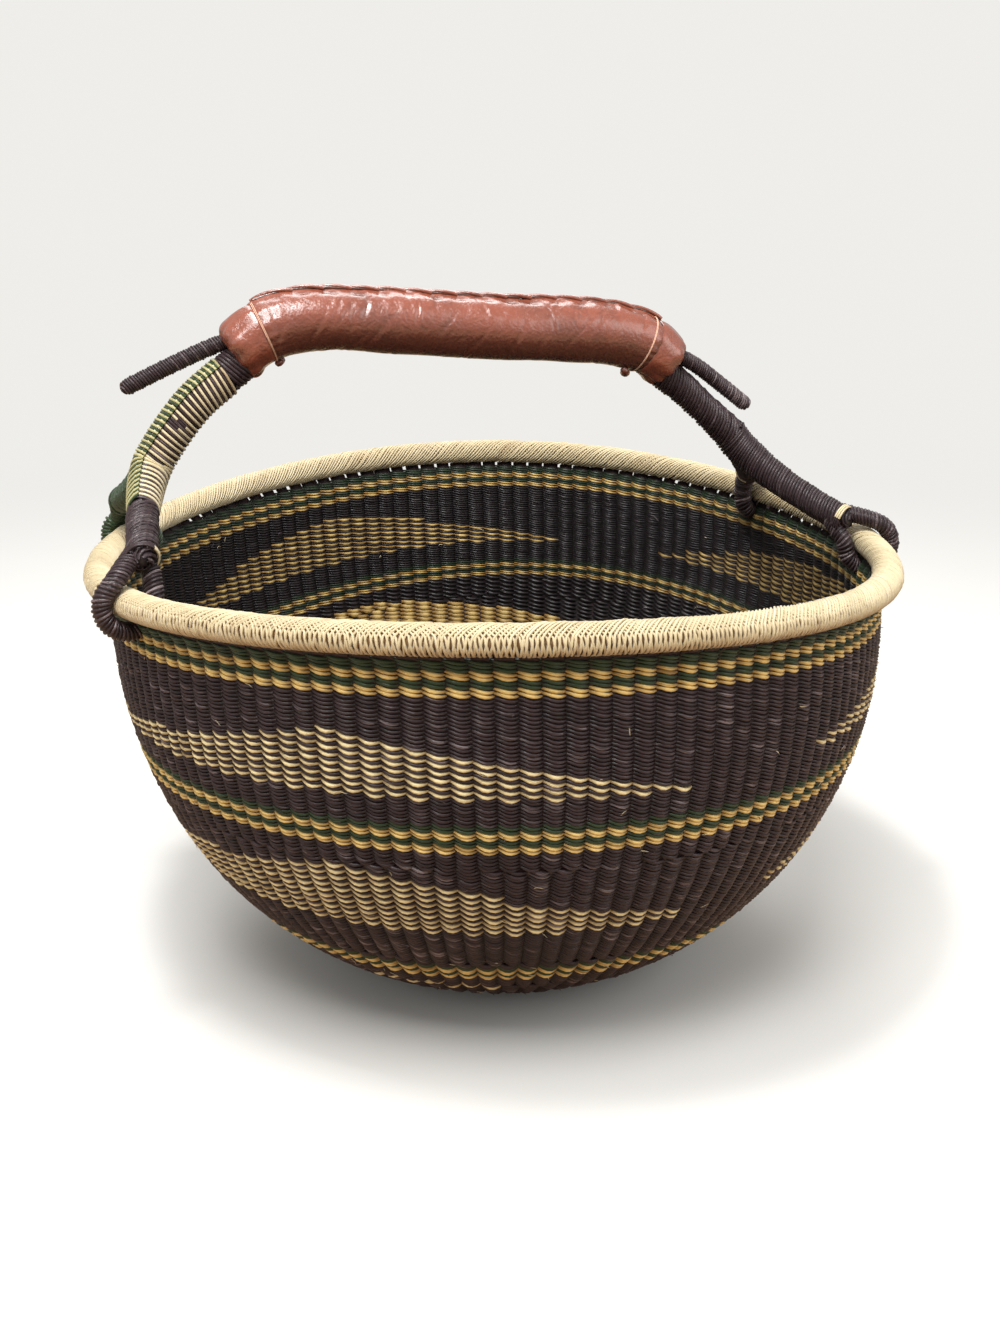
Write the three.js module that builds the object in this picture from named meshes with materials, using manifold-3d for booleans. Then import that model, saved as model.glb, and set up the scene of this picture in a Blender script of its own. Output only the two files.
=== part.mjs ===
// Round market basket of twined straw, with a whipped rim and a fixed bow handle that has a leather grip.
//
// Units are millimetres, +Z is up and the origin is on the floor under the middle of the bowl.
// +X runs along the handle and +Y goes to the back of the basket. The handle stands a little behind
// the middle. The wall is a stack of woven rings, one for each colour group. The handle is four bent sticks:
// two to an arm, side by side, which part into a front and a rear leg. Each stick goes over the rim on the
// outside, through the wall under the rim and back up on the inside.
import * as THREE from 'three';
import { mergeVertices } from 'three/addons/utils/BufferGeometryUtils.js';
import Module from 'manifold-3d';

const wasm = await Module();
wasm.setup();

// Driving sizes of the bowl
const rimRadius = 197;
const rimHeight = 221;
const rimTubeRadius = 7.5;
const rimCoreRadius = 4.5;
const wallThickness = 6;
const floorRadius = 57;
const startRadius = 24;
const pieceGap = 0.3;
const rimSway = 7.3;
const rimTiltRise = 3.2;
const rimDrift = 3;
const driftPower = 4;
const stripeDepth = 14.5;
const upperStripeFoot = 197;
const middleStripeFoot = 125.5;
const lowerStripeFoot = 40.5;
const wallTopBelowRim = 5.6;
const middleRowRise = 23;
const upperRowRise = 5;
const middleRowTurn = THREE.MathUtils.degToRad(58);
const middleRowPower = 2;
const holeGap = 0.5;
const flareBelowRim = 15;

// Driving sizes of the handle
const handleReach = 197;
const handleRise = 110;
const handleSetback = 24;
const handleTurn = THREE.MathUtils.degToRad(17);
const stickRadius = 2.6;
const stickSpacing = 5.5;
const gripRadius = 15;
const leatherThickness = 1.6;
const leftArmRadius = 10.2;
const collarRadius = 9.6;
const rightArmRadius = 7.2;
const legRadius = 7.2;
const loopStrandRadius = 4.2;
const stubRadius = 5.1;
const strawThickness = 1.2;
const turnGap = 0.8;
const loopClearance = 0.7;
const socketGap = 0.9;
const paddingGap = 1.5;
const lashingThickness = 1.2;
const lashingWidth = 4.5;
const collarLength = 9;
const armCoreGap = 0.4;
const armCoreInset = 3;
const endWall = 2.5;
const windingTuck = 1.5;
const threadThickness = 0.7;
const threadWidth = 1.2;
const laceRadius = 1.4;
const laceStitch = 13;

// Counts and resolution
const ringSegments = 36;
const leftArmTurns = 24;
const rightArmTurns = 16;
const leftStubTurns = 16;
const rightStubTurns = 13;
const stepsPerTurn = 6;
const stickSides = 5;
const strandSides = 7;
const wrapSides = 9;
const gripSides = 14;
const lacePoints = 12;

// Where the strands of each leg part: degrees round the rim from +X towards +Y, and height over the rim and
// inset from it
const forks = {
  leftFront: { angleDegrees: 197.5, height: 18, inset: 8 },
  leftRear: { angleDegrees: 153, height: 18, inset: -5 },
  rightFront: { angleDegrees: -11.5, height: 11, inset: 10 },
  rightRear: { angleDegrees: 21.5, height: 14, inset: 9 },
};

// Places round the rim that each stick passes, from the outside, under the rim and up the inside
const loopDegrees = [60, 25, -10, -45, -80, -115, -150, -185];

// Where a stick passes along its leg, and the share by which it has turned to the parting of the strands
const legShares = [0.2, 0.45, 0.7, 0.88];
const legBackSteps = 3;
const stickTurnShare = 0.7;

// Outer outline of the bowl, as shares of the rim's radius and height
const bowlOutlineShares = [
  [0.35, 0.009], [0.474, 0.052], [0.589, 0.116], [0.691, 0.196], [0.779, 0.288], [0.85, 0.388],
  [0.907, 0.496], [0.949, 0.61], [0.976, 0.726], [0.987, 0.844], [0.988, 0.92],
];

// Middle lines of the handle: across as a share of its reach, up as a share of its rise above the rim
const gripShares = [
  [-0.652, 0.86], [-0.574, 0.955], [-0.482, 0.995], [-0.33, 0.991], [-0.147, 0.964], [0.036, 0.936],
  [0.203, 0.922], [0.34, 0.896], [0.448, 0.838], [0.518, 0.74],
];
const gripRadiusShares = [
  [0, 0.95], [0.06, 0.99], [0.3, 0.98], [0.6, 1.03], [0.85, 1.02], [0.94, 0.99], [1, 0.93],
];
const leftArmShares = [
  [-0.612, 0.86], [-0.65, 0.803], [-0.69, 0.748], [-0.748, 0.664], [-0.812, 0.53], [-0.858, 0.41],
];
const rightArmShares = [[0.48, 0.73], [0.51, 0.69], [0.545, 0.64], [0.615, 0.515], [0.69, 0.385]];
const leftElbowShare = [-0.898, 0.27];
const rightElbowShare = [0.785, 0.2];
const leftStubShares = [[-0.598, 0.958], [-0.69, 0.91], [-0.8, 0.83], [-0.909, 0.742]];
const rightStubShares = [[0.475, 0.845], [0.577, 0.757], [0.66, 0.652], [0.741, 0.544]];
const sleeveEndShares = { left: 0.078, right: 0.925 };
const forkEndShares = { left: 0.36, right: 0.36 };
const legEndShare = 0.93;
const lashingShare = 0.76;
const keepOutShare = 0.6;
const exitEndShare = 0.7;
const exitStepShare = 0.005;
const laceThinShare = 0.72;
const loopShares = [0.1, 0.9];
const gripStickShares = [0.2, 0.4, 0.6, 0.8];
const steepShare = 0.95;

const up = new THREE.Vector3(0, 0, 1);
const drift = new THREE.Vector3(-Math.cos(handleTurn), Math.sin(handleTurn), 0).multiplyScalar(rimDrift);

/** Height that the rim gains at an angle: it dips at the handle's feet and is higher at front and back. */
function rimLift(angle) {
  return -rimSway * Math.cos(2 * (angle + handleTurn)) + rimTiltRise * Math.sin(angle + handleTurn);
}

/** A point at a radius, height and angle of the bowl. The rim's sway and drift fade towards the floor. */
function bowlPoint(radius, height, angle) {
  const lifted = height + (height / rimHeight) * rimLift(angle);
  return new THREE.Vector3(radius * Math.cos(angle), radius * Math.sin(angle), lifted)
    .addScaledVector(drift, (height / rimHeight) ** driftPower);
}

/** Volume of a closed mesh, which is negative when its faces point in. */
function signedVolume(geometry) {
  const position = geometry.getAttribute('position');
  const index = geometry.getIndex();
  const corners = [new THREE.Vector3(), new THREE.Vector3(), new THREE.Vector3()];
  let volume = 0;
  for (let face = 0; face < index.count; face += 3) {
    corners.forEach((corner, turn) => corner.fromBufferAttribute(position, index.getX(face + turn)));
    volume += corners[0].dot(corners[1].clone().cross(corners[2])) / 6;
  }
  return volume;
}

/** Keeps only positions, merges shared corners and turns the faces outwards. */
function closed(geometry) {
  const bare = new THREE.BufferGeometry();
  bare.setAttribute('position', geometry.getAttribute('position'));
  if (geometry.getIndex()) bare.setIndex(geometry.getIndex());
  const merged = mergeVertices(bare);
  if (signedVolume(merged) < 0) {
    const order = merged.getIndex().array;
    for (let face = 0; face < order.length; face += 3) {
      [order[face + 1], order[face + 2]] = [order[face + 2], order[face + 1]];
    }
  }
  return merged;
}

/** The closed mesh as a solid for joining and cutting. */
function toSolid(geometry) {
  const ready = closed(geometry);
  return new wasm.Manifold(new wasm.Mesh({
    numProp: 3,
    vertProperties: new Float32Array(ready.getAttribute('position').array),
    triVerts: new Uint32Array(ready.getIndex().array),
  }));
}

/** A cut or joined solid as a three.js geometry. */
function toGeometry(solid) {
  const mesh = solid.getMesh();
  const geometry = new THREE.BufferGeometry();
  geometry.setAttribute('position', new THREE.BufferAttribute(new Float32Array(mesh.vertProperties), 3));
  geometry.setIndex(new THREE.BufferAttribute(new Uint32Array(mesh.triVerts), 1));
  return geometry;
}

/** First geometry with the others cut out of it. */
function cut(geometry, ...tools) {
  return toGeometry(tools.reduce((solid, tool) => solid.subtract(toSolid(tool)), toSolid(geometry)));
}

/** All geometries joined into one. */
function join(...geometries) {
  return toGeometry(geometries.map(toSolid).reduce((solid, other) => solid.add(other)));
}

/** Joins rings of points into a closed skin: capped at both ends, or carried round to the first ring. */
function skin(rings, endless = false) {
  const sides = rings[0].length;
  const positions = rings.flat().flatMap((point) => [point.x, point.y, point.z]);
  const faces = [];
  const last = endless ? rings.length : rings.length - 1;
  for (let ring = 0; ring < last; ring += 1) {
    for (let side = 0; side < sides; side += 1) {
      const a = ring * sides + side;
      const b = ring * sides + ((side + 1) % sides);
      const c = ((ring + 1) % rings.length) * sides + ((side + 1) % sides);
      const d = ((ring + 1) % rings.length) * sides + side;
      faces.push(a, b, c, a, c, d);
    }
  }
  if (!endless) {
    [[0, true], [(rings.length - 1) * sides, false]].forEach(([start, flipped]) => {
      for (let side = 1; side < sides - 1; side += 1) {
        const pair = flipped ? [side + 1, side] : [side, side + 1];
        faces.push(start, start + pair[0], start + pair[1]);
      }
    });
  }
  const geometry = new THREE.BufferGeometry();
  geometry.setAttribute('position', new THREE.Float32BufferAttribute(positions, 3));
  geometry.setIndex(faces);
  return closed(geometry);
}

/** Frames through points that don't twist: at each, its direction and two axes square to it. */
function framesThrough(points, tangents) {
  let normal = new THREE.Vector3();
  return points.map((point, place) => {
    const tangent = tangents[place];
    if (place === 0) {
      const guide = Math.abs(tangent.dot(up)) > steepShare ? new THREE.Vector3(1, 0, 0) : up;
      normal.crossVectors(guide, tangent).normalize();
    } else {
      normal = normal.clone().addScaledVector(tangent, -normal.dot(tangent)).normalize();
    }
    return { point, tangent, normal, side: new THREE.Vector3().crossVectors(tangent, normal) };
  });
}

/** Frames at even steps along part of a curve. */
function framesAlong(curve, steps, from = 0, to = 1) {
  const shares = Array.from({ length: steps + 1 }, (_, step) => from + ((to - from) * step) / steps);
  const points = shares.map((share) => curve.getPointAt(share));
  return framesThrough(points, shares.map((share) => curve.getTangentAt(share)));
}

/** Ring of points round a frame. */
function ringAt(frame, radius, sides, shift = 0) {
  return Array.from({ length: sides }, (_, side) => {
    const angle = (2 * Math.PI * (side + shift)) / sides;
    return frame.point.clone()
      .addScaledVector(frame.normal, radius * Math.cos(angle))
      .addScaledVector(frame.side, radius * Math.sin(angle));
  });
}

/** A rod along part of a curve; radiusAt gives its radius at a share of the whole stretch. */
function rod(curve, radiusAt, steps, sides, from = 0, to = 1) {
  const size = typeof radiusAt === 'number' ? () => radiusAt : radiusAt;
  const frames = framesAlong(curve, steps, from, to);
  return skin(frames.map((frame, step) => ringAt(frame, size(step / steps), sides)));
}

/** A hollow sleeve along part of a curve, open at both ends. */
function sleeve(curve, outer, inner, steps, sides, from = 0, to = 1) {
  const size = (radius) => (typeof radius === 'number' ? () => radius : radius);
  const frames = framesAlong(curve, steps, from, to);
  const outside = frames.map((frame, step) => ringAt(frame, size(outer)(step / steps), sides));
  const inside = frames.map((frame, step) => ringAt(frame, size(inner)(step / steps), sides));
  return skin([...outside, ...inside.reverse()], true);
}

/** Least distance between points of a winding that lie at least half a turn apart. */
function leastGap(points, halfTurn, reach) {
  let least = Infinity;
  for (let first = 0; first < points.length; first += 1) {
    for (let second = first + halfTurn; second < points.length; second += 1) {
      least = Math.min(least, points[first].distanceTo(points[second]));
    }
  }
  return least - reach;
}

/** One unbroken strip of straw wound round a curve: its turns lie side by side with a fine gap. */
function winding(name, curve, outer, turns, from, to) {
  const steps = turns * stepsPerTurn;
  const pitch = (curve.getLength() * (to - from)) / turns;
  const halfWidth = (pitch - turnGap) / 2;
  const frames = framesAlong(curve, steps, from, to);
  const middle = outer - strawThickness / 2;
  const centres = [];
  const rings = frames.map((frame, step) => {
    const turn = (2 * Math.PI * step) / stepsPerTurn;
    const out = frame.normal.clone().multiplyScalar(Math.cos(turn))
      .addScaledVector(frame.side, Math.sin(turn));
    const centre = frame.point.clone().addScaledVector(out, middle);
    centres.push(centre);
    return [[1, 0], [0, 1], [-1, 0], [0, -1]].map(([outwards, along]) => centre.clone()
      .addScaledVector(out, (outwards * strawThickness) / 2)
      .addScaledVector(frame.tangent, along * halfWidth));
  });
  const gap = leastGap(centres, stepsPerTurn - 1, 2 * halfWidth);
  console.log(`${name}: least gap between turns ${gap.toFixed(2)} mm`);
  return skin(rings);
}

// Outline of the bowl as one curve of radius and height
const flareHeight = rimHeight - flareBelowRim;
const wallTop = rimHeight - wallTopBelowRim;
const outline = new THREE.SplineCurve([
  new THREE.Vector2(floorRadius, 0),
  ...bowlOutlineShares.map(([out, high]) => new THREE.Vector2(out * rimRadius, high * rimHeight)),
  new THREE.Vector2(rimRadius + wallThickness / 2 - rimTubeRadius / 2, flareHeight + flareBelowRim / 3),
  new THREE.Vector2(rimRadius + wallThickness / 2, wallTop),
]);

/** Share of the outline's length at which it reaches a height. */
function outlineShareAt(height) {
  let low = 0;
  let high = 1;
  for (let pass = 0; pass < 40; pass += 1) {
    const middle = (low + high) / 2;
    if (outline.getPointAt(middle).y < height) low = middle;
    else high = middle;
  }
  return (low + high) / 2;
}

/** Closed section of a wall ring between two shares of the outline, grown outwards and inwards if asked. */
function wallSection(from, to, pieces, grow = 0) {
  const outer = [];
  const inner = [];
  for (let step = 0; step <= pieces; step += 1) {
    const share = from + ((to - from) * step) / pieces;
    const point = outline.getPointAt(share);
    const run = point.y > flareHeight ? new THREE.Vector2(0, 1) : outline.getTangentAt(share);
    outer.push([point.x + grow, point.y]);
    inner.push([point.x - run.y * wallThickness - grow, point.y + run.x * wallThickness]);
  }
  return [...outer, ...inner.reverse()];
}

/**
 * Turns a closed section of radius and height round the bowl's axis and adds the rim's sway. The section is
 * the same all round, or a function of the angle.
 */
function revolve(section, segments = ringSegments) {
  const sectionAt = typeof section === 'function' ? section : () => section;
  const rings = Array.from({ length: segments }, (_, segment) => {
    const angle = (2 * Math.PI * segment) / segments;
    return sectionAt(angle).map(([radius, height]) => bowlPoint(radius, height, angle));
  });
  return skin(rings, true);
}

/** Points of an arc about the rim's middle, in radius and height. */
function rimSection(radius, count, from, to) {
  return Array.from({ length: count }, (_, step) => {
    const angle = from + ((to - from) * step) / (count - 1);
    return [rimRadius + radius * Math.cos(angle), rimHeight + radius * Math.sin(angle)];
  });
}

/** A point of the handle's own plane from its shares, moved sideways. */
function handlePoint([across, rise], aside = 0) {
  return new THREE.Vector3(across * handleReach, handleSetback + aside, rimHeight + rise * handleRise);
}

/** A point beside the rim at one leg, at a distance out from the rim's middle and up from it. */
function besideRim(angle, outwards, upwards) {
  return bowlPoint(rimRadius, rimHeight, angle)
    .addScaledVector(new THREE.Vector3(Math.cos(angle), Math.sin(angle), 0), outwards)
    .addScaledVector(up, upwards);
}

/** Everything that lies on one leg: middle line, stick line and loop line. */
function legLines(armShares, elbowShare, { angleDegrees, height, inset }, stickSide) {
  const angle = THREE.MathUtils.degToRad(angleDegrees);
  const reach = rimTubeRadius + loopClearance + loopStrandRadius;
  const armFoot = handlePoint(armShares[armShares.length - 1]);
  const end = besideRim(angle, -inset, height);
  const middle = new THREE.QuadraticBezierCurve3(armFoot, handlePoint(elbowShare), end);
  const parting = besideRim(angle, height, inset).sub(besideRim(angle, 0, 0)).normalize();
  const aside = new THREE.Vector3(0, stickSide, 0);
  const half = stickSpacing / 2;
  const down = legShares.map((share) => {
    const turned = Math.min(1, share / stickTurnShare);
    return middle.getPoint(share).addScaledVector(aside, half * (1 - turned))
      .addScaledVector(parting, half * turned);
  });
  const back = [...legShares].reverse().slice(0, legBackSteps)
    .map((share) => middle.getPoint(share).addScaledVector(parting, -half));
  const round = loopDegrees.map((turn) => THREE.MathUtils.degToRad(turn))
    .map((turn) => besideRim(angle, reach * Math.cos(turn), reach * Math.sin(turn)));
  const loop = new THREE.CatmullRomCurve3([down[down.length - 1], ...round, back[0]]);
  return { middle, down, round, back, loop };
}

const legs = {
  leftFront: legLines(leftArmShares, leftElbowShare, forks.leftFront, -1),
  leftRear: legLines(leftArmShares, leftElbowShare, forks.leftRear, 1),
  rightFront: legLines(rightArmShares, rightElbowShare, forks.rightFront, -1),
  rightRear: legLines(rightArmShares, rightElbowShare, forks.rightRear, 1),
};

const gripLine = new THREE.CatmullRomCurve3(gripShares.map((share) => handlePoint(share)));

/**
 * Middle line of one stick: through the grip on its lane, down an arm and a leg, round the rim and back up.
 * It starts inside the grip's far end, or runs out of it there as a stub.
 */
function stickLine(armShares, lane, stickSide, leg, stubShares) {
  const shares = armShares === leftArmShares ? [...gripStickShares].reverse() : gripStickShares;
  const toLane = new THREE.Vector3(0, lane * stickSpacing, 0);
  const through = shares.map((share) => gripLine.getPointAt(share).add(toLane));
  const stub = [...stubShares].reverse().map((share) => handlePoint(share, lane * stickSpacing));
  const arming = armShares.slice(1).map((share) => handlePoint(share, (stickSide * stickSpacing) / 2));
  return new THREE.CatmullRomCurve3([...stub, ...through, ...arming, ...leg.down, ...leg.round, ...leg.back]);
}

/** Rings of points round a stick's line: one between its points, and two where it rounds the rim. */
function stickRings(line, radius) {
  const spans = line.points.length - 1;
  const loopStart = spans - legBackSteps - loopDegrees.length;
  const places = [];
  for (let span = 0; span < spans; span += 1) {
    places.push(span / spans);
    if (span >= loopStart) places.push((span + 0.5) / spans);
  }
  places.push(1);
  const points = places.map((place) => line.getPoint(place));
  const frames = framesThrough(points, places.map((place) => line.getTangent(place)));
  return frames.map((frame) => ringAt(frame, radius, stickSides));
}

/** The two halves of a stick's channel, which meet under the rim, so that neither runs beside itself. */
function channelTools(line) {
  const rings = stickRings(line, channelRadius);
  const underRim = rings.length - 2 * legBackSteps - loopDegrees.length;
  return [skin(rings.slice(0, underRim + 1)), skin(rings.slice(underRim - 1))];
}

const stickLines = {
  left_front_stick: stickLine(leftArmShares, -1.5, -1, legs.leftFront, []),
  left_rear_stick: stickLine(leftArmShares, -0.5, 1, legs.leftRear, rightStubShares),
  right_front_stick: stickLine(rightArmShares, 0.5, -1, legs.rightFront, leftStubShares),
  right_rear_stick: stickLine(rightArmShares, 1.5, 1, legs.rightRear, []),
};

const colours = {
  darkStraw: 0x2e2530,
  greenStraw: 0x24432f,
  yellowStraw: 0xc9a348,
  naturalStraw: 0xd9c292,
  stick: 0xa98c5a,
  leather: 0x8f3f2b,
  thread: 0xe2b487,
  padding: 0xb9a680,
};

const basket = new THREE.Group();

/** Adds one named piece with its own finish. */
function add(name, geometry, colour, roughness = 0.8) {
  const material = new THREE.MeshStandardMaterial({ color: colour, roughness, metalness: 0 });
  const mesh = new THREE.Mesh(geometry, material);
  mesh.name = name;
  basket.add(mesh);
}

/** The strand that goes round the rim on one leg, or the hole that clears it. */
function loopRod(leg, radius) {
  return rod(leg.loop, radius, 12, strandSides, ...loopShares);
}

/** The woven bowl: start, flat base, and one ring for each colour group. */
function addBowl() {
  const start = [[0, 0], [startRadius, 0], [startRadius, wallThickness], [0, wallThickness]];
  const lathe = new THREE.LatheGeometry(start.map(([radius, height]) => new THREE.Vector2(radius, height)),
    ringSegments);
  add('woven_start', closed(lathe.rotateX(Math.PI / 2)), colours.darkStraw);
  const ringEdge = startRadius + pieceGap;
  const seam = wallSection(0, 1, 1)[3];
  const base = [[ringEdge, 0], [floorRadius, 0], seam, [ringEdge, wallThickness]];
  add('base_weave', revolve(base), colours.darkStraw);

  const length = outline.getLength();
  const gapShare = pieceGap / length;
  const stripeShare = stripeDepth / length;
  const lowerFoot = outlineShareAt(lowerStripeFoot);
  const middleFoot = outlineShareAt(middleStripeFoot);
  const upperFoot = outlineShareAt(upperStripeFoot);
  // The rows round the two upper stripes climb towards the back, where those above them are packed closer
  const rowShare = (share, angle) => {
    const toBack = ((1 + Math.cos(angle - middleRowTurn)) / 2) ** middleRowPower / length;
    const riseShare = (low, foot, high) => Math.max(0, share < foot
      ? (share - low) / (foot - low)
      : (high - share) / (high - foot));
    const middle = riseShare(lowerFoot + stripeShare, middleFoot, upperFoot);
    const upper = riseShare(middleFoot + stripeShare, upperFoot, 1);
    return share + toBack * (middleRowRise * middle + upperRowRise * upper);
  };
  const bands = [
    ['lower_wall', 0, lowerFoot, 4, gapShare, colours.darkStraw],
    ['lower_stripe', lowerFoot, lowerFoot + stripeShare, 1, 0, colours.yellowStraw],
    ['middle_wall', lowerFoot + stripeShare, middleFoot, 5, gapShare, colours.darkStraw],
    ['middle_stripe', middleFoot, middleFoot + stripeShare, 1, 0, colours.yellowStraw],
    ['upper_wall', middleFoot + stripeShare, upperFoot, 3, gapShare, colours.darkStraw],
  ];
  bands.forEach(([name, from, to, pieces, gap, colour]) => {
    const band = (angle) => wallSection(rowShare(from, angle) + gap, rowShare(to, angle) - gap, pieces);
    add(name, revolve(band), colour);
  });

  const top = revolve((angle) => wallSection(rowShare(upperFoot, angle), 1, 4));
  const holes = Object.values(legs).map((leg) => loopRod(leg, loopStrandRadius + holeGap));
  add('upper_stripe', cut(top, ...holes), colours.greenStraw);
}

/** The rim: a round bundle and the straw whipped over it, open below where the wall enters. */
function addRim() {
  add('rim_core', revolve(rimSection(rimCoreRadius, 6, 0, 2 * Math.PI * (5 / 6))), colours.stick);
  const halfWall = wallThickness / 2;
  const outerLip = Math.atan2(-wallTopBelowRim, halfWall + 2 * pieceGap);
  const innerLip = 1.5 * Math.PI - Math.atan2(halfWall + 3 * pieceGap + wallTopBelowRim / 2, wallTopBelowRim);
  const outer = rimSection(rimTubeRadius, 11, outerLip, innerLip);
  const inner = rimSection(rimCoreRadius + 2 * pieceGap, 8, outerLip, innerLip);
  add('rim_wrap', revolve([...outer, ...inner.reverse()]), colours.naturalStraw);
}

/** Radius of the leather at a share of the grip's length. */
function gripRadiusAt(share) {
  const next = Math.max(1, gripRadiusShares.findIndex(([place]) => place >= share));
  const [low, high] = [gripRadiusShares[next - 1], gripRadiusShares[next]];
  const blend = (share - low[0]) / (high[0] - low[0]);
  return gripRadius * THREE.MathUtils.lerp(low[1], high[1], blend);
}

/** A rod that follows the grip between two shares of it, a little smaller than the leather if asked. */
function gripRod(from, to, steps, sides, smaller = 0) {
  return rod(gripLine, (share) => gripRadiusAt(from + (to - from) * share) - smaller, steps, sides, from, to);
}

const armLines = {
  left: new THREE.CatmullRomCurve3(leftArmShares.map((share) => handlePoint(share))),
  right: new THREE.CatmullRomCurve3(rightArmShares.map((share) => handlePoint(share))),
};
const stubLines = {
  left: new THREE.CatmullRomCurve3(leftStubShares.map((share) => handlePoint(share, stickSpacing / 2))),
  right: new THREE.CatmullRomCurve3(rightStubShares.map((share) => handlePoint(share, -stickSpacing / 2))),
};
const channelRadius = stickRadius + pieceGap / Math.cos(Math.PI / stickSides);
const stickTools = Object.values(stickLines).flatMap(channelTools);

/** Share of a line at which it leaves the grip's end face. */
function exitShare(line, atLeft) {
  const end = gripLine.getPointAt(atLeft ? 0 : 1);
  const outward = gripLine.getTangentAt(atLeft ? 0 : 1).multiplyScalar(atLeft ? -1 : 1);
  let share = 0;
  while (share < 1 && line.getPointAt(share).sub(end).dot(outward) < 0) share += exitStepShare;
  return share;
}

/** The four sticks, each one unbroken from its end in the grip to its end inside the leg. */
function addSticks() {
  Object.entries(stickLines)
    .forEach(([name, line]) => add(name, skin(stickRings(line, stickRadius)), colours.stick));
}

/** The straw wound round both arms and both stick ends. */
function addWindings() {
  const coreRadius = (leftArmRadius - strawThickness) * Math.cos(Math.PI / stepsPerTurn) - armCoreGap;
  const leftOut = exitShare(armLines.left, true);
  const leftLength = armLines.left.getLength();
  const tuck = windingTuck / leftLength;
  const collarEnd = leftOut - tuck + collarLength / leftLength;
  const collar = rod(armLines.left, collarRadius, 3, wrapSides, leftOut - tuck, collarEnd);
  add('left_arm_collar', cut(collar, ...stickTools), colours.darkStraw);
  add('left_arm_winding', winding('left_arm_winding', armLines.left, leftArmRadius, leftArmTurns,
    collarEnd + (2 * pieceGap + turnGap) / leftLength + 1 / (leftArmTurns * 2), 1 - 1 / (leftArmTurns * 2)),
  colours.yellowStraw);
  const core = rod(armLines.left, coreRadius, 5, wrapSides, collarEnd + pieceGap / leftLength,
    1 - armCoreInset / leftLength);
  add('left_arm_core', cut(core, ...stickTools), colours.stick);
  const rightOut = exitShare(armLines.right, false);
  add('right_arm_winding', winding('right_arm_winding', armLines.right, rightArmRadius, rightArmTurns,
    rightOut - windingTuck / armLines.right.getLength(), 1 - 1 / (rightArmTurns * 2)), colours.darkStraw);
  [['left', true, leftStubTurns], ['right', false, rightStubTurns]].forEach(([side, atLeft, turns]) => {
    const line = stubLines[side];
    const out = exitShare(line, atLeft) - windingTuck / line.getLength();
    add(`${side}_stub_winding`, winding(`${side}_stub_winding`, line, stubRadius, turns, out, 1),
      colours.darkStraw);
  });
}

/** Wraps of the forks, legs and loops, and the lashing on each leg. */
function addLegs() {
  const sides = [
    ['left', 'leftFront', 'leftRear', leftArmRadius],
    ['right', 'rightFront', 'rightRear', rightArmRadius],
  ];
  sides.forEach(([side, front, rear, armRadius]) => {
    const end = forkEndShares[side];
    const tapering = (share) => THREE.MathUtils.lerp(armRadius, legRadius, Math.min(1, 2 * share));
    const [first, second] = [front, rear].map((leg) => rod(legs[leg].middle, tapering, 5, wrapSides, 0, end));
    add(`${side}_fork_wrap`, cut(join(first, second), ...stickTools), colours.darkStraw);
    [['front', front], ['rear', rear]].forEach(([place, key]) => {
      const leg = legs[key];
      const length = leg.middle.getLength();
      const colour = key === 'leftRear' ? colours.greenStraw : colours.darkStraw;
      const wrap = rod(leg.middle, legRadius, 4, wrapSides, end + pieceGap / length, legEndShare);
      add(`${side}_${place}_leg_wrap`, cut(wrap, ...stickTools), colour);
      const keepOutEnd = legEndShare + pieceGap / length;
      const keepOut = rod(leg.middle, legRadius + pieceGap, 3, wrapSides, keepOutShare, keepOutEnd);
      add(`${side}_${place}_loop_wrap`, cut(loopRod(leg, loopStrandRadius), keepOut, ...stickTools), colour);
      const lashingRadius = legRadius + socketGap;
      const halfLashing = lashingWidth / 2 / length;
      const lashing = sleeve(leg.middle, lashingRadius + lashingThickness, lashingRadius, 1, 10,
        lashingShare - halfLashing, lashingShare + halfLashing);
      add(`${side}_${place}_lashing`, lashing, colours.naturalStraw);
    });
  });
}

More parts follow.
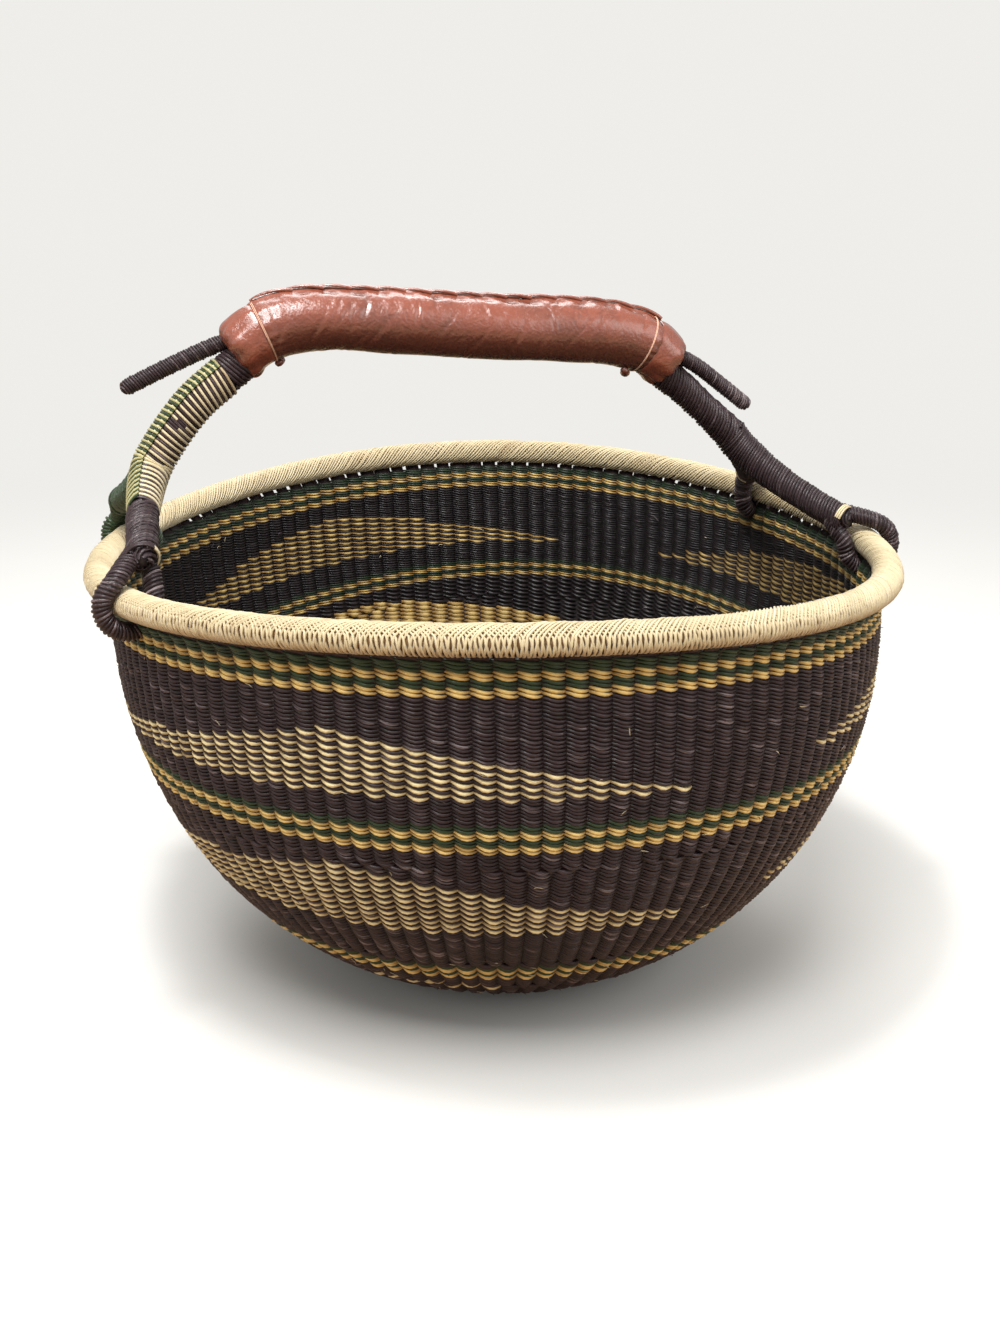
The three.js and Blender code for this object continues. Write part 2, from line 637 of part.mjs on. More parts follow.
/** The grip: padding round the sticks, leather sleeve, end covers, threads and the lace along the top. */
function addGrip() {
  const length = gripLine.getLength();
  const gap = pieceGap / length;
  const inner = leatherThickness + paddingGap;
  const wallShare = endWall / length;
  const { left, right } = sleeveEndShares;
  const exits = [
    rod(armLines.left, collarRadius + socketGap, 6, wrapSides, 0, exitEndShare),
    rod(armLines.right, rightArmRadius + socketGap, 6, wrapSides, 0, exitEndShare),
    rod(stubLines.left, stubRadius + socketGap, 3, strandSides),
    rod(stubLines.right, stubRadius + socketGap, 3, strandSides),
  ];
  const padding = gripRod(wallShare + gap, 1 - wallShare - gap, 9, gripSides, inner);
  add('grip_padding', cut(padding, ...stickTools, ...exits), colours.padding);
  const thin = (share, from, to, less) => gripRadiusAt(from + (to - from) * share) - less;
  add('grip_leather', sleeve(gripLine, (share) => thin(share, left, right, 0),
    (share) => thin(share, left, right, leatherThickness), 9, gripSides, left, right), colours.leather, 0.45);
  const hollow = gripRod(wallShare, 1 - wallShare, 9, gripSides, leatherThickness);
  add('left_end_cover', cut(gripRod(0, left - gap, 3, gripSides), hollow, ...exits), colours.leather, 0.45);
  add('right_end_cover', cut(gripRod(right + gap, 1, 3, gripSides), hollow, ...exits), colours.leather, 0.45);
  [['left', left], ['right', right]].forEach(([side, share]) => {
    const half = threadWidth / 2 / length;
    const outer = gripRadiusAt(share) + pieceGap;
    const thread = sleeve(gripLine, outer + threadThickness, outer, 1, gripSides, share - half, share + half);
    add(`${side}_end_thread`, thread, colours.thread, 0.6);
  });
  const places = Array.from({ length: lacePoints }, (_, step) => (
    left + 3 * gap + ((right - left - 6 * gap) * step) / (lacePoints - 1)));
  const crest = places.map((share) => {
    const run = gripLine.getTangentAt(share);
    const lift = gripRadiusAt(share) + pieceGap + laceRadius;
    return gripLine.getPointAt(share).add(new THREE.Vector3(-run.z, 0, run.x).multiplyScalar(lift));
  });
  const lace = new THREE.CatmullRomCurve3(crest);
  const stitches = Math.round(lace.getLength() / laceStitch);
  const shape = (share) => laceRadius * ((share * stitches * 2) % 2 < 1 ? 1 : laceThinShare);
  add('grip_lacing', rod(lace, shape, stitches * 2, 6), colours.leather, 0.5);
}

addBowl();
addRim();
addSticks();
addWindings();
addLegs();
addGrip();

export default basket;
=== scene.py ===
"""Looks of a round market basket of twined straw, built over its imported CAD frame.

Every length is in millimetres until a mesh is made, where it becomes metres. Angles round the bowl start at +X
and turn towards +Y. The bowl's outline and the handle's lines repeat the sizes of the part's own source.
"""

from __future__ import annotations

import logging
import math
from dataclasses import dataclass, field
from enum import Enum
from functools import cached_property

import bpy
import numpy as np
from mathutils import Matrix


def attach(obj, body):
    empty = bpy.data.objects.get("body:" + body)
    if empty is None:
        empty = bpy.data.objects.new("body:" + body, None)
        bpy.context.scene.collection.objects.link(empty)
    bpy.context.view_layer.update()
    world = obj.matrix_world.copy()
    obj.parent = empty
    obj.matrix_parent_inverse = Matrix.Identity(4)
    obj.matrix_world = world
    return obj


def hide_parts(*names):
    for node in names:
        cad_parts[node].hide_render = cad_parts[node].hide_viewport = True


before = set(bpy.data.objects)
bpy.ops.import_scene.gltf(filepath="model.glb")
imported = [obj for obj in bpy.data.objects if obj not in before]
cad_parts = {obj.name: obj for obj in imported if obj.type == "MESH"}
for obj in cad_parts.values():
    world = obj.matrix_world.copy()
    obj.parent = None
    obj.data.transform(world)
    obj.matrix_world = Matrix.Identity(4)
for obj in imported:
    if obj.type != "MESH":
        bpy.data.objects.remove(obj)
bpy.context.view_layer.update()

LOG = logging.getLogger("basket")
MM = 0.001
TINY = 1e-9
SAME_PLACE = 1e-6
OUTWARDS = 0.5
PATTERN_REACH = 400
FULL_TURN = 2 * math.pi
UV_NAME = "OFBake"
UV_MARGIN = 0.06
HANDLE_TURN = math.radians(17.0)

Array = np.ndarray
Socket = bpy.types.NodeSocket
Colour = tuple[float, float, float]
Place = tuple[float, float, float]
Pairs = tuple[tuple[float, float], ...]


class Dye(Enum):
    """Colours of straw and the other stuffs, in the order of a piece's material slots."""

    DARK = "dark_straw"
    GREEN = "green_straw"
    YELLOW = "yellow_straw"
    PALE_YELLOW = "pale_yellow_straw"
    NATURAL = "natural_straw"
    OLIVE = "olive_straw"
    LEATHER = "leather"
    THREAD = "thread"
    WOOD = "stick"


@dataclass(frozen=True)
class StrawFinish:
    """Twisted straw: fibre streaks along each strand, a tone of its own for each strand and worn pale spots."""

    name: str
    deep: Colour
    body: Colour
    pale: Colour
    roughness: float = 0.5
    sheen: float = 0.15
    streaks: float = 9.0
    wear: float = 0.66
    streak_length: float = 0.11
    patches: float = 38.0
    fibre_grain: float = 520.0
    seed_spread: float = 91.0
    fine_share: float = 0.4
    tone_weights: tuple[float, float, float] = (0.32, 0.6, 0.35)
    stops: tuple[float, float, float] = (0.18, 0.42, 0.95)
    grain_roughness: float = 0.25
    smoothing: float = 0.12
    gloss: float = 0.4
    relief: float = 0.45
    relief_depth: float = 0.0005

    def build(self) -> bpy.types.Material:
        """Makes the node material.

        Returns:
            The straw material, which reads each strand's lay from the mesh.
        """
        kit = NodeKit(self.name)
        lay = kit.attribute("lay")
        parts = kit.node("ShaderNodeSeparateXYZ")
        kit.link(lay.outputs["Vector"], parts.inputs[0])
        along = kit.math("MULTIPLY", parts.outputs[0], self.streak_length)
        round_share = kit.math("MULTIPLY", parts.outputs[1], self.streaks)
        seed = kit.math("MULTIPLY", parts.outputs[2], self.seed_spread)
        fibres = kit.noise(kit.combine(along, round_share, seed), scale=1.0, detail=3.0, roughness=0.6)
        place = kit.place()
        soft = kit.noise(place, scale=self.patches, detail=3.0, roughness=0.55)
        fine = kit.noise(place, scale=self.fibre_grain, detail=2.0, roughness=0.6)
        own, fibre, patch = self.tone_weights
        tone = kit.math("ADD", kit.math("MULTIPLY", parts.outputs[2], own), kit.math("MULTIPLY", fibres, fibre))
        tone = kit.math("ADD", tone, kit.math("MULTIPLY", kit.math("SUBTRACT", soft, 0.5), patch))
        low, full, high = self.stops
        ramp = kit.ramp(tone, [(low, self.deep), (full, self.body), (self.wear, self.body), (high, self.pale)])
        # The shade attribute blends the colour towards the deep one: painted shade.
        kit.set_socket("Base Color", kit.mix(kit.attribute("shade").outputs["Fac"], ramp, self.deep))
        grain = kit.math("MULTIPLY", fine, self.grain_roughness)
        kit.set_socket("Roughness", kit.math("ADD", grain, self.roughness - self.smoothing))
        height = kit.math("ADD", fibres, kit.math("MULTIPLY", fine, self.fine_share))
        kit.bump(height, self.relief, self.relief_depth)
        kit.set_socket("Sheen Weight", self.sheen)
        kit.set_socket("Sheen Roughness", self.gloss)
        kit.set_socket("Specular IOR Level", self.gloss)
        return kit.material


@dataclass(frozen=True)
class LeatherFinish:
    """Red-brown glazed leather with fine grain, rubbed pale on its ridges and dark in its creases."""

    name: str = "glazed_leather"
    deep: Colour = (0.07, 0.03, 0.022)
    body: Colour = (0.275, 0.075, 0.042)
    pale: Colour = (0.5, 0.2, 0.14)
    patches: float = 42.0
    creases: float = 170.0
    grain: float = 620.0
    patch_share: float = 0.55
    grain_share: float = 0.3
    stops: tuple[float, float, float, float] = (0.2, 0.47, 0.62, 0.85)
    gloss: float = 0.6
    roughness: float = 0.08
    crease_roughness: float = 0.36
    coat: float = 0.8
    coat_roughness: float = 0.2
    relief: float = 0.5
    relief_depth: float = 0.0011

    def build(self) -> bpy.types.Material:
        """Makes the node material.

        Returns:
            The leather material.
        """
        kit = NodeKit(self.name)
        place = kit.place()
        patches = kit.noise(place, scale=self.patches, detail=4.0, roughness=0.6)
        grain = kit.node("ShaderNodeTexVoronoi")
        kit.put(self.grain, grain.inputs["Scale"])
        kit.link(place, grain.inputs["Vector"])
        creases = kit.noise(place, scale=self.creases, detail=4.0, roughness=0.65, distortion=1.4)
        tone = kit.math("ADD", kit.math("MULTIPLY", patches, self.patch_share),
                        kit.math("MULTIPLY", creases, 1 - self.patch_share))
        colour = kit.ramp(tone, list(zip(self.stops, (self.deep, self.body, self.body, self.pale))))
        # The shade attribute blends the colour towards the deep one: painted shade.
        kit.set_socket("Base Color", kit.mix(kit.attribute("shade").outputs["Fac"], colour, self.deep))
        worn = kit.math("MULTIPLY", creases, self.crease_roughness)
        kit.set_socket("Roughness", kit.math("ADD", worn, self.roughness))
        height = kit.math("ADD", creases, kit.math("MULTIPLY", grain.outputs["Distance"], self.grain_share))
        kit.bump(height, self.relief, self.relief_depth)
        kit.set_socket("Specular IOR Level", self.gloss)
        kit.set_socket("Coat Weight", self.coat)
        kit.set_socket("Coat Roughness", self.coat_roughness)
        return kit.material


@dataclass(frozen=True)
class WoodFinish:
    """Bare bent stick: long grain along its axis and a few dark flecks."""

    name: str = "bare_stick"
    deep: Colour = (0.24, 0.15, 0.07)
    body: Colour = (0.42, 0.29, 0.14)
    roughness: float = 0.45
    grain_roughness: float = 0.3

    def build(self) -> bpy.types.Material:
        """Makes the node material.

        Returns:
            The wood material.
        """
        kit = NodeKit(self.name)
        grain = kit.noise(kit.place(), scale=160.0, detail=5.0, roughness=0.6, distortion=0.8)
        kit.set_socket("Base Color", kit.ramp(grain, [(0.3, self.deep), (0.65, self.body)]))
        rough = kit.math("MULTIPLY", grain, self.grain_roughness)
        kit.set_socket("Roughness", kit.math("ADD", rough, self.roughness))
        kit.bump(grain, strength=0.3, distance=0.0004)
        return kit.material


@dataclass(frozen=True)
class PaintFinish:
    """A plain pale studio surface with a faint mottle, which the camera sees fade into the backdrop.

    It throws warm dim light up at the basket.
    """

    name: str
    shade: Colour
    backdrop: Colour
    bounce: Colour = (0.4, 0.27, 0.17)
    fade_from: float = 0.42
    fade_to: float = 1.5
    dimming: float = 0.985
    roughness: float = 0.85
    gloss: float = 0.2

    def build(self) -> bpy.types.Material:
        """Makes the node material.

        Returns:
            The floor's material.
        """
        kit = NodeKit(self.name)
        place = kit.place()
        mottle = kit.noise(place, scale=9.0, detail=3.0, roughness=0.5)
        dim = tuple(self.dimming * part for part in self.shade)
        seen = kit.node("ShaderNodeLightPath").outputs["Is Camera Ray"]
        paint = kit.ramp(mottle, [(0.3, dim), (0.7, self.shade)])
        kit.set_socket("Base Color", kit.mix(kit.math("SUBTRACT", 1.0, seen), paint, self.bounce))
        kit.set_socket("Roughness", self.roughness)
        kit.set_socket("Specular IOR Level", self.gloss)
        distance = kit.node("ShaderNodeVectorMath")
        distance.operation = "LENGTH"
        kit.link(place, distance.inputs[0])
        fade = kit.node("ShaderNodeMapRange")
        fade.interpolation_type = "SMOOTHSTEP"
        kit.link(distance.outputs["Value"], fade.inputs["Value"])
        kit.put(self.fade_from, fade.inputs["From Min"])
        kit.put(self.fade_to, fade.inputs["From Max"])
        glow = kit.node("ShaderNodeEmission")
        kit.put(self.backdrop, glow.inputs["Color"])
        mixed = kit.node("ShaderNodeMixShader")
        kit.link(kit.math("MULTIPLY", fade.outputs["Result"], seen), mixed.inputs[0])
        kit.link(kit.shader.outputs[0], mixed.inputs[1])
        kit.link(glow.outputs[0], mixed.inputs[2])
        kit.link(mixed.outputs[0], kit.tree.nodes["Material Output"].inputs["Surface"])
        return kit.material


class NodeKit:
    """Short calls that lay out one material's nodes."""

    def __init__(self, name: str) -> None:
        """Starts a material with a shader.

        Args:
            name: The material's name.
        """
        self.material = bpy.data.materials.new(name)
        self.material.use_nodes = True
        self.tree = self.material.node_tree
        self.shader = self.tree.nodes["Principled BSDF"]

    def node(self, kind: str) -> bpy.types.Node:
        """Adds a node of a kind."""
        return self.tree.nodes.new(kind)

    def link(self, source: Socket, target: Socket) -> None:
        """Joins two sockets."""
        self.tree.links.new(source, target)

    def place(self) -> Socket:
        """Adds a node for the object's own coordinates, in metres."""
        return self.node("ShaderNodeTexCoord").outputs["Object"]

    def put(self, value: Socket | float | tuple[float, ...], target: Socket) -> None:
        """Sets a socket from another socket, a number or a colour.

        Args:
            value: What the socket gets.
            target: The socket.
        """
        if isinstance(value, Socket):
            self.link(value, target)
        elif isinstance(value, tuple):
            target.default_value = (*value, 1.0)
        else:
            target.default_value = value

    def set_socket(self, name: str, value: Socket | float | tuple[float, ...]) -> None:
        """Sets one of the shader's own sockets."""
        self.put(value, self.shader.inputs[name])

    def attribute(self, name: str) -> bpy.types.Node:
        """Adds a node that reads a mesh attribute.

        Args:
            name: The attribute's name.

        Returns:
            The node.
        """
        found = self.node("ShaderNodeAttribute")
        found.attribute_name = name
        return found

    def math(self, operation: str, first: Socket | float, second: Socket | float) -> Socket:
        """Adds a sum, product or other operation of two numbers.

        Args:
            operation: Blender's name of the operation.
            first: First number or socket.
            second: Second number or socket.

        Returns:
            The result's socket.
        """
        found = self.node("ShaderNodeMath")
        found.operation = operation
        self.put(first, found.inputs[0])
        self.put(second, found.inputs[1])
        return found.outputs[0]

    def combine(self, *parts: Socket) -> Socket:
        """Joins three numbers to a vector.

        Args:
            parts: Sockets of the numbers.

        Returns:
            The vector's socket.
        """
        found = self.node("ShaderNodeCombineXYZ")
        for part, socket in zip(parts, found.inputs):
            self.put(part, socket)
        return found.outputs[0]

    def noise(self, place: Socket, scale: float, detail: float, roughness: float,
              distortion: float = 0.0) -> Socket:
        """Adds a noise pattern.

        Args:
            place: Socket of the coordinates.
            scale: How fine the pattern is.
            detail: Number of finer layers.
            roughness: Weight of the finer layers.
            distortion: How much the pattern is warped.

        Returns:
            The socket of the pattern's value, about 0 to 1.
        """
        found = self.node("ShaderNodeTexNoise")
        settings = {"Vector": place, "Scale": scale, "Detail": detail, "Roughness": roughness,
                    "Distortion": distortion}
        for name, value in settings.items():
            self.put(value, found.inputs[name])
        return found.outputs[0]

    def ramp(self, value: Socket, stops: list[tuple[float, Colour]]) -> Socket:
        """Adds a colour ramp.

        Args:
            value: Socket of the number that runs through the ramp.
            stops: Places and their colours.

        Returns:
            The colour's socket.
        """
        found = self.node("ShaderNodeValToRGB")
        elements = found.color_ramp.elements
        while len(elements) < len(stops):
            elements.new(0.5)
        for element, (position, colour) in zip(elements, stops):
            element.position = position
            element.color = (*colour, 1.0)
        self.link(value, found.inputs[0])
        return found.outputs[0]

    def mix(self, share: Socket, first: Socket, second: Colour) -> Socket:
        """Blends a colour towards another by a share.

        Args:
            share: Socket of the share of the second colour.
            first: Socket of the first colour.
            second: The second colour.

        Returns:
            The blend's socket.
        """
        found = self.node("ShaderNodeMix")
        found.data_type = "RGBA"
        self.link(share, found.inputs[0])
        self.link(first, found.inputs[6])
        self.put(second, found.inputs[7])
        return found.outputs[2]

    def bump(self, height: Socket, strength: float, distance: float) -> None:
        """Gives the shader a bump from a height.

        Args:
            height: Socket of the height.
            strength: Weight of the bump.
            distance: Height in metres that a value of 1 stands for.
        """
        found = self.node("ShaderNodeBump")
        for name, value in {"Strength": strength, "Distance": distance, "Height": height}.items():
            self.put(value, found.inputs[name])
        self.link(found.outputs[0], self.shader.inputs["Normal"])


@dataclass
class Finishes:
    """All finishes of the basket, each made once."""

    made: dict[Dye, bpy.types.Material] = field(default_factory=dict)

    def __post_init__(self) -> None:
        """Makes every finish."""
        recipes = {
            Dye.DARK: StrawFinish("purple_black_straw", (0.007, 0.004, 0.005), (0.041, 0.0225, 0.0255),
                                  (0.6, 0.49, 0.5), roughness=0.4, sheen=0.05, wear=0.55),
            Dye.GREEN: StrawFinish("bottle_green_straw", (0.008, 0.018, 0.006), (0.03, 0.058, 0.022),
                                   (0.14, 0.27, 0.18), roughness=0.4, wear=0.66),
            Dye.YELLOW: StrawFinish("golden_straw", (0.22, 0.11, 0.02), (0.86, 0.63, 0.23), (0.99, 0.89, 0.55),
                                    roughness=0.45),
            Dye.PALE_YELLOW: StrawFinish("pale_yellow_straw", (0.2, 0.11, 0.03), (0.9, 0.76, 0.42),
                                         (1.0, 0.96, 0.8), roughness=0.42),
            Dye.NATURAL: StrawFinish("natural_straw", (0.26, 0.15, 0.06), (0.72, 0.61, 0.38), (0.92, 0.86, 0.68),
                                     roughness=0.42, sheen=0.25, wear=0.56),
            Dye.OLIVE: StrawFinish("olive_straw", (0.16, 0.15, 0.05), (0.5, 0.46, 0.22), (0.78, 0.73, 0.45)),
            Dye.LEATHER: LeatherFinish(),
            Dye.THREAD: StrawFinish("light_thread", (0.5, 0.26, 0.16), (0.86, 0.52, 0.36), (0.95, 0.72, 0.55),
                                    streaks=3.0),
            Dye.WOOD: WoodFinish(),
        }
        self.made = {dye: recipe.build() for dye, recipe in recipes.items()}

    def __getitem__(self, dye: Dye) -> bpy.types.Material:
        """The material of a dye."""
        return self.made[dye]


class Piece:
    """Gathers tubes and sheets of quads and turns them into one Blender object."""

    def __init__(self, name: str, dyes: list[Dye] | tuple[Dye, ...]) -> None:
        """Starts an empty piece.

        Args:
            name: The object's name.
            dyes: Its materials, in the order of its slots.
        """
        self.name = name
        self.dyes = dyes
        self.parts: list[tuple[Array, Array, Array, Array, Array, Array]] = []
        self.count = 0

    def add_grid(self, points: Array, lay: Array, shade: Array, dye: Array, wrap_along: bool = False) -> None:
        """Adds grids of quads that close round on themselves.

        Args:
            points: Places in mm, shaped grids, along, round, 3.
            lay: Strand coordinates (along, round, tone), of the same shape.
            shade: Painted shade from 0 to 1, shaped grids, along, round.
            dye: Slot number for each grid and step along.
            wrap_along: Whether the last step joins the first.
        """
        grids, along, sides = points.shape[:3]
        steps = along if wrap_along else along - 1
        base = (np.arange(grids) * along * sides)[:, None, None]
        here = np.arange(steps)[None, :, None]
        there = (here + 1) % along
        side = np.arange(sides)[None, None, :]
        other = (side + 1) % sides
        corners = np.stack([base + here * sides + side, base + there * sides + side,
                            base + there * sides + other, base + here * sides + other], -1)
        inner = 1 - 2 * UV_MARGIN
        rows = np.arange(grids)[:, None, None]
        low_u = here / steps + 0 * base + 0 * side
        high_u = (here + 1) / steps + 0 * base + 0 * side
        low_v = (rows + UV_MARGIN + inner * side / sides) / grids + 0 * here
        high_v = (rows + UV_MARGIN + inner * (side + 1) / sides) / grids + 0 * here
        uv = np.stack([np.stack(pair, -1) for pair in ((low_u, low_v), (high_u, low_v), (high_u, high_v),
                                                       (low_u, high_v))], -2)
        slots = np.broadcast_to(dye[:, :steps, None], (grids, steps, sides))
        self.parts.append((points.reshape(-1, 3), lay.reshape(-1, 3), shade.reshape(-1),
                           corners.reshape(-1, 4) + self.count, uv.reshape(-1, 4, 2), slots.reshape(-1)))
        self.count += grids * along * sides

    def strands(self, path: Array, out: Array, half_width: Array | float, half_depth: Array | float,
                sides: int = 6, closed: bool = False, dye: Array | int = 0, tone: Array | float = 0.5,
                shade: Array | float = 0.0, start: Array | float = 0.0, groove_shade: float = 0.5) -> None:
        """Adds strands: tubes with an oval section that lies flat on what they cover.

        Args:
            path: Middle lines in mm, shaped strands, steps, 3.
            out: Directions away from what the strands lie on, of the same shape.
            half_width: Half the width across the strand.
            half_depth: Half the thickness.
            sides: Number of sides of the section.
            closed: Whether each strand joins its own start.
            dye: Slot number, for all or for each strand and step.
            tone: Tone from 0 to 1, for all, each strand or each step.
            shade: Painted shade from 0 to 1, in the same ways.
            start: Shift of the straw's own pattern along each strand.
            groove_shade: Painted shade in the grooves between strands, laid on the side of the section that turns
                away.
        """
        count, steps = path.shape[:2]
        shape = (count, steps)
        if closed:
            run = np.roll(path, -1, 1) - np.roll(path, 1, 1)
        else:
            run = np.gradient(path, axis=1)
        run /= np.linalg.norm(run, axis=-1, keepdims=True) + TINY
        across = np.cross(run, out)
        across /= np.linalg.norm(across, axis=-1, keepdims=True) + TINY
        outward = np.cross(across, run)
        wide = np.broadcast_to(half_width, shape)[..., None, None]
        deep = np.broadcast_to(half_depth, shape)[..., None, None]
        turn = (np.arange(sides) * FULL_TURN / sides + math.pi)[None, None, :, None]
        points = (path[:, :, None] + outward[:, :, None] * deep * np.cos(turn)
                  + across[:, :, None] * wide * np.sin(turn))
        length = np.zeros(shape)
        length[:, 1:] = np.cumsum(np.linalg.norm(np.diff(path, axis=1), axis=-1), axis=1)
        length = length + np.broadcast_to(start, shape)
        lay = np.stack(np.broadcast_arrays(length[..., None], (np.arange(sides) / sides)[None, None],
                                           np.broadcast_to(tone, shape)[..., None]), -1)
        # Painted shade: the far side of each strand's section is darkened, standing in for shade in the grooves
        # between strands.
        painted_groove_shade = groove_shade * (1 - np.cos(turn[..., 0])) / 2
        painted_shade = np.clip(np.broadcast_to(shade, shape)[..., None] + painted_groove_shade, 0, 1)
        slots = np.broadcast_to(dye, shape)
        self.add_grid(points, lay, painted_shade, slots, closed)

    def build(self, finishes: Finishes, slot: str, *nodes: str) -> bpy.types.Object:
        """Makes the Blender object, in metres, riding on the basket.

        Args:
            finishes: Where the materials come from.
            slot: Name of a material slot of this piece; it is not used.
            nodes: CAD nodes that the piece stands for.

        Returns:
            The new object.
        """
        points, lay, shade, corners, uv, slots = (np.concatenate(part) for part in zip(*self.parts))
        mesh = bpy.data.meshes.new(self.name)
        mesh.vertices.add(len(points))
        mesh.vertices.foreach_set("co", (points * MM).astype(np.float32).ravel())
        mesh.loops.add(corners.size)
        mesh.loops.foreach_set("vertex_index", corners.astype(np.int32).ravel())
        mesh.polygons.add(len(corners))
        mesh.polygons.foreach_set("loop_start", np.arange(0, corners.size, 4, dtype=np.int32))
        for dye in self.dyes:
            mesh.materials.append(finishes[dye])
        mesh.polygons.foreach_set("material_index", slots.astype(np.int32))
        mesh.update(calc_edges=True)
        mesh.polygons.foreach_set("use_smooth", np.ones(len(corners), bool))
        mesh.uv_layers.new(name=UV_NAME).data.foreach_set("uv", uv.astype(np.float32).ravel())
        lays = mesh.attributes.new("lay", "FLOAT_VECTOR", "POINT")
        lays.data.foreach_set("vector", lay.astype(np.float32).ravel())
        shades = mesh.attributes.new("shade", "FLOAT", "POINT")
        shades.data.foreach_set("value", shade.astype(np.float32))
        made = bpy.data.objects.new(self.name, mesh)
        bpy.context.scene.collection.objects.link(made)
        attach(made, "root")
        if nodes:
            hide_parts(*nodes)
        LOG.info("%s: %d quads", self.name, len(corners))
        return made


def bend(start: Array, end: Array, leave: Array, arrive: Array, samples: int) -> Array:
    """A smooth span between two points.

    Args:
        start: First point.
        end: Last point, which is left out.
        leave: Direction and pace at the first point.
        arrive: Direction and pace at the last point.
        samples: Number of points.

    Returns:
        The points.
    """
    share = np.linspace(0, 1, samples, endpoint=False)[:, None]
    return ((2 * start - 2 * end + leave + arrive) * share**3
            + (-3 * start + 3 * end - 2 * leave - arrive) * share**2 + leave * share + start)


@dataclass
class BowlShape:
    """Outline of the bowl and the sway of its rim, as the CAD has them."""

    rim_radius: float = 197.0
    rim_height: float = 221.0
    rim_tube: float = 7.5
    wall: float = 6.0
    floor_radius: float = 57.0
    sway: float = 7.3
    tilt: float = 3.2
    drift: float = 3.0
    drift_power: float = 4.0
    flare_below_rim: float = 15.0
    top_below_rim: float = 5.6
    stripe_depth: float = 14.5
    stripe_feet: tuple[float, float, float] = (40.5, 125.5, 197.0)
    row_rises: tuple[float, float] = (23.0, 5.0)
    row_turn: float = math.radians(58.0)
    row_power: float = 2.0
    span_samples: int = 40
    table_step: float = 0.5
    levelling: float = 6.0
    outline: Pairs = (
        (0.35, 0.009), (0.474, 0.052), (0.589, 0.116), (0.691, 0.196), (0.779, 0.288), (0.85, 0.388),
        (0.907, 0.496), (0.949, 0.61), (0.976, 0.726), (0.987, 0.844), (0.988, 0.92))

    @cached_property
    def table(self) -> dict[str, Array]:
        """Path from the middle of the base to the top.

        Returns:
            Columns of its length, radius, height and outward direction.
        """
        flare = self.rim_height - self.flare_below_rim
        knots = [(self.floor_radius, 0.0)]
        knots += [(out * self.rim_radius, high * self.rim_height) for out, high in self.outline]
        knots.append((self.rim_radius + self.wall / 2 - self.rim_tube / 2, flare + self.flare_below_rim / 3))
        knots.append((self.rim_radius + self.wall / 2, self.rim_height - self.top_below_rim))
        points = np.array(knots)
        padded = np.vstack([points[:1], points, points[-1:]])
        curve = [bend(two, three, (three - one) / 2, (four - two) / 2, self.span_samples)
                 for one, two, three, four in zip(padded, padded[1:], padded[2:], padded[3:])]
        curve = np.vstack([[[0.0, 0.0]], *curve, points[-1:]])
        length = np.concatenate([[0], np.cumsum(np.linalg.norm(np.diff(curve, axis=0), axis=1))])
        even = np.arange(0, length[-1], self.table_step)
        radius = np.interp(even, length, curve[:, 0])
        height = np.interp(even, length, curve[:, 1])
        run_r, run_z = np.gradient(radius), np.gradient(height)
        level = np.clip((height - (flare - self.levelling)) / self.levelling, 0, 1)
        out_r, out_z = run_z * (1 - level) + level * self.table_step, -run_r * (1 - level)
        size = np.hypot(out_r, out_z)
        return {"s": even, "r": radius, "z": height, "nr": out_r / size, "nz": out_z / size}

    @cached_property
    def length(self) -> float:
        """Length of the path from the middle of the base to the top of the wall."""
        return float(self.table["s"][-1])

    def path_at_height(self, height: float) -> float:
        """Length of the path at which the outline reaches a height."""
        return float(np.interp(height, self.table["z"], self.table["s"]))

    def row_at(self, path: Array, angle: Array) -> tuple[Array, Array]:
        """Where a row runs at an angle: rows round the two upper stripes climb to the back, packed closer above.

        Args:
            path: Lengths of the path at the front.
            angle: Angles in radians.

        Returns:
            Lengths of the path there, and how much closer or wider the rows lie.
        """
        feet = [self.path_at_height(foot) for foot in self.stripe_feet]
        to_back = ((1 + np.cos(angle - self.row_turn)) / 2) ** self.row_power
        moved, closeness = path, 1.0
        for rise, below, foot, end in zip(self.row_rises, feet, feet[1:], (*feet[2:], self.length)):
            start = below + self.stripe_depth
            share = np.where(path < foot, (path - start) / (foot - start), (end - path) / (end - foot))
            slope = np.where(path < foot, 1 / (foot - start), -1 / (end - foot)) * (share > 0)
            moved = moved + to_back * rise * np.maximum(share, 0)
            closeness = closeness + to_back * rise * slope
        return moved, closeness

    def radius_at(self, path: float) -> float:
        """Radius of the outline at a length of the path."""
        return float(np.interp(path, self.table["s"], self.table["r"]))

    def lift(self, angle: Array) -> Array:
        """How much the rim stands above its mean height at an angle."""
        turned = angle + HANDLE_TURN
        return -self.sway * np.cos(2 * turned) + self.tilt * np.sin(turned)

    def place(self, radius: Array, height: Array, angle: Array) -> Array:
        """Turns radius, height and angle into a point of the swayed bowl.

        Args:
            radius: Distances from the axis in mm.
            height: Heights of the unswayed bowl in mm.
            angle: Angles in radians.

        Returns:
            Points with a last axis of three.
        """
        share = height / self.rim_height
        shift = self.drift * np.abs(share) ** self.drift_power
        return np.stack([radius * np.cos(angle) - shift * math.cos(HANDLE_TURN),
                         radius * np.sin(angle) + shift * math.sin(HANDLE_TURN),
                         height + share * self.lift(angle)], -1)

    def skin(self, path: Array, proud: Array, angle: Array) -> Array:
        """A point at a length of the path, proud of the middle of the wall.

        Args:
            path: Lengths of the path in mm.
            proud: Distances outwards from the middle of the wall in mm.
            angle: Angles in radians.

        Returns:
            Points with a last axis of three.
        """
        table = self.table
        offset = proud - self.wall / 2
        radius = np.interp(path, table["s"], table["r"]) + np.interp(path, table["s"], table["nr"]) * offset
        height = np.interp(path, table["s"], table["z"]) + np.interp(path, table["s"], table["nz"]) * offset
        return self.place(radius, height, angle)


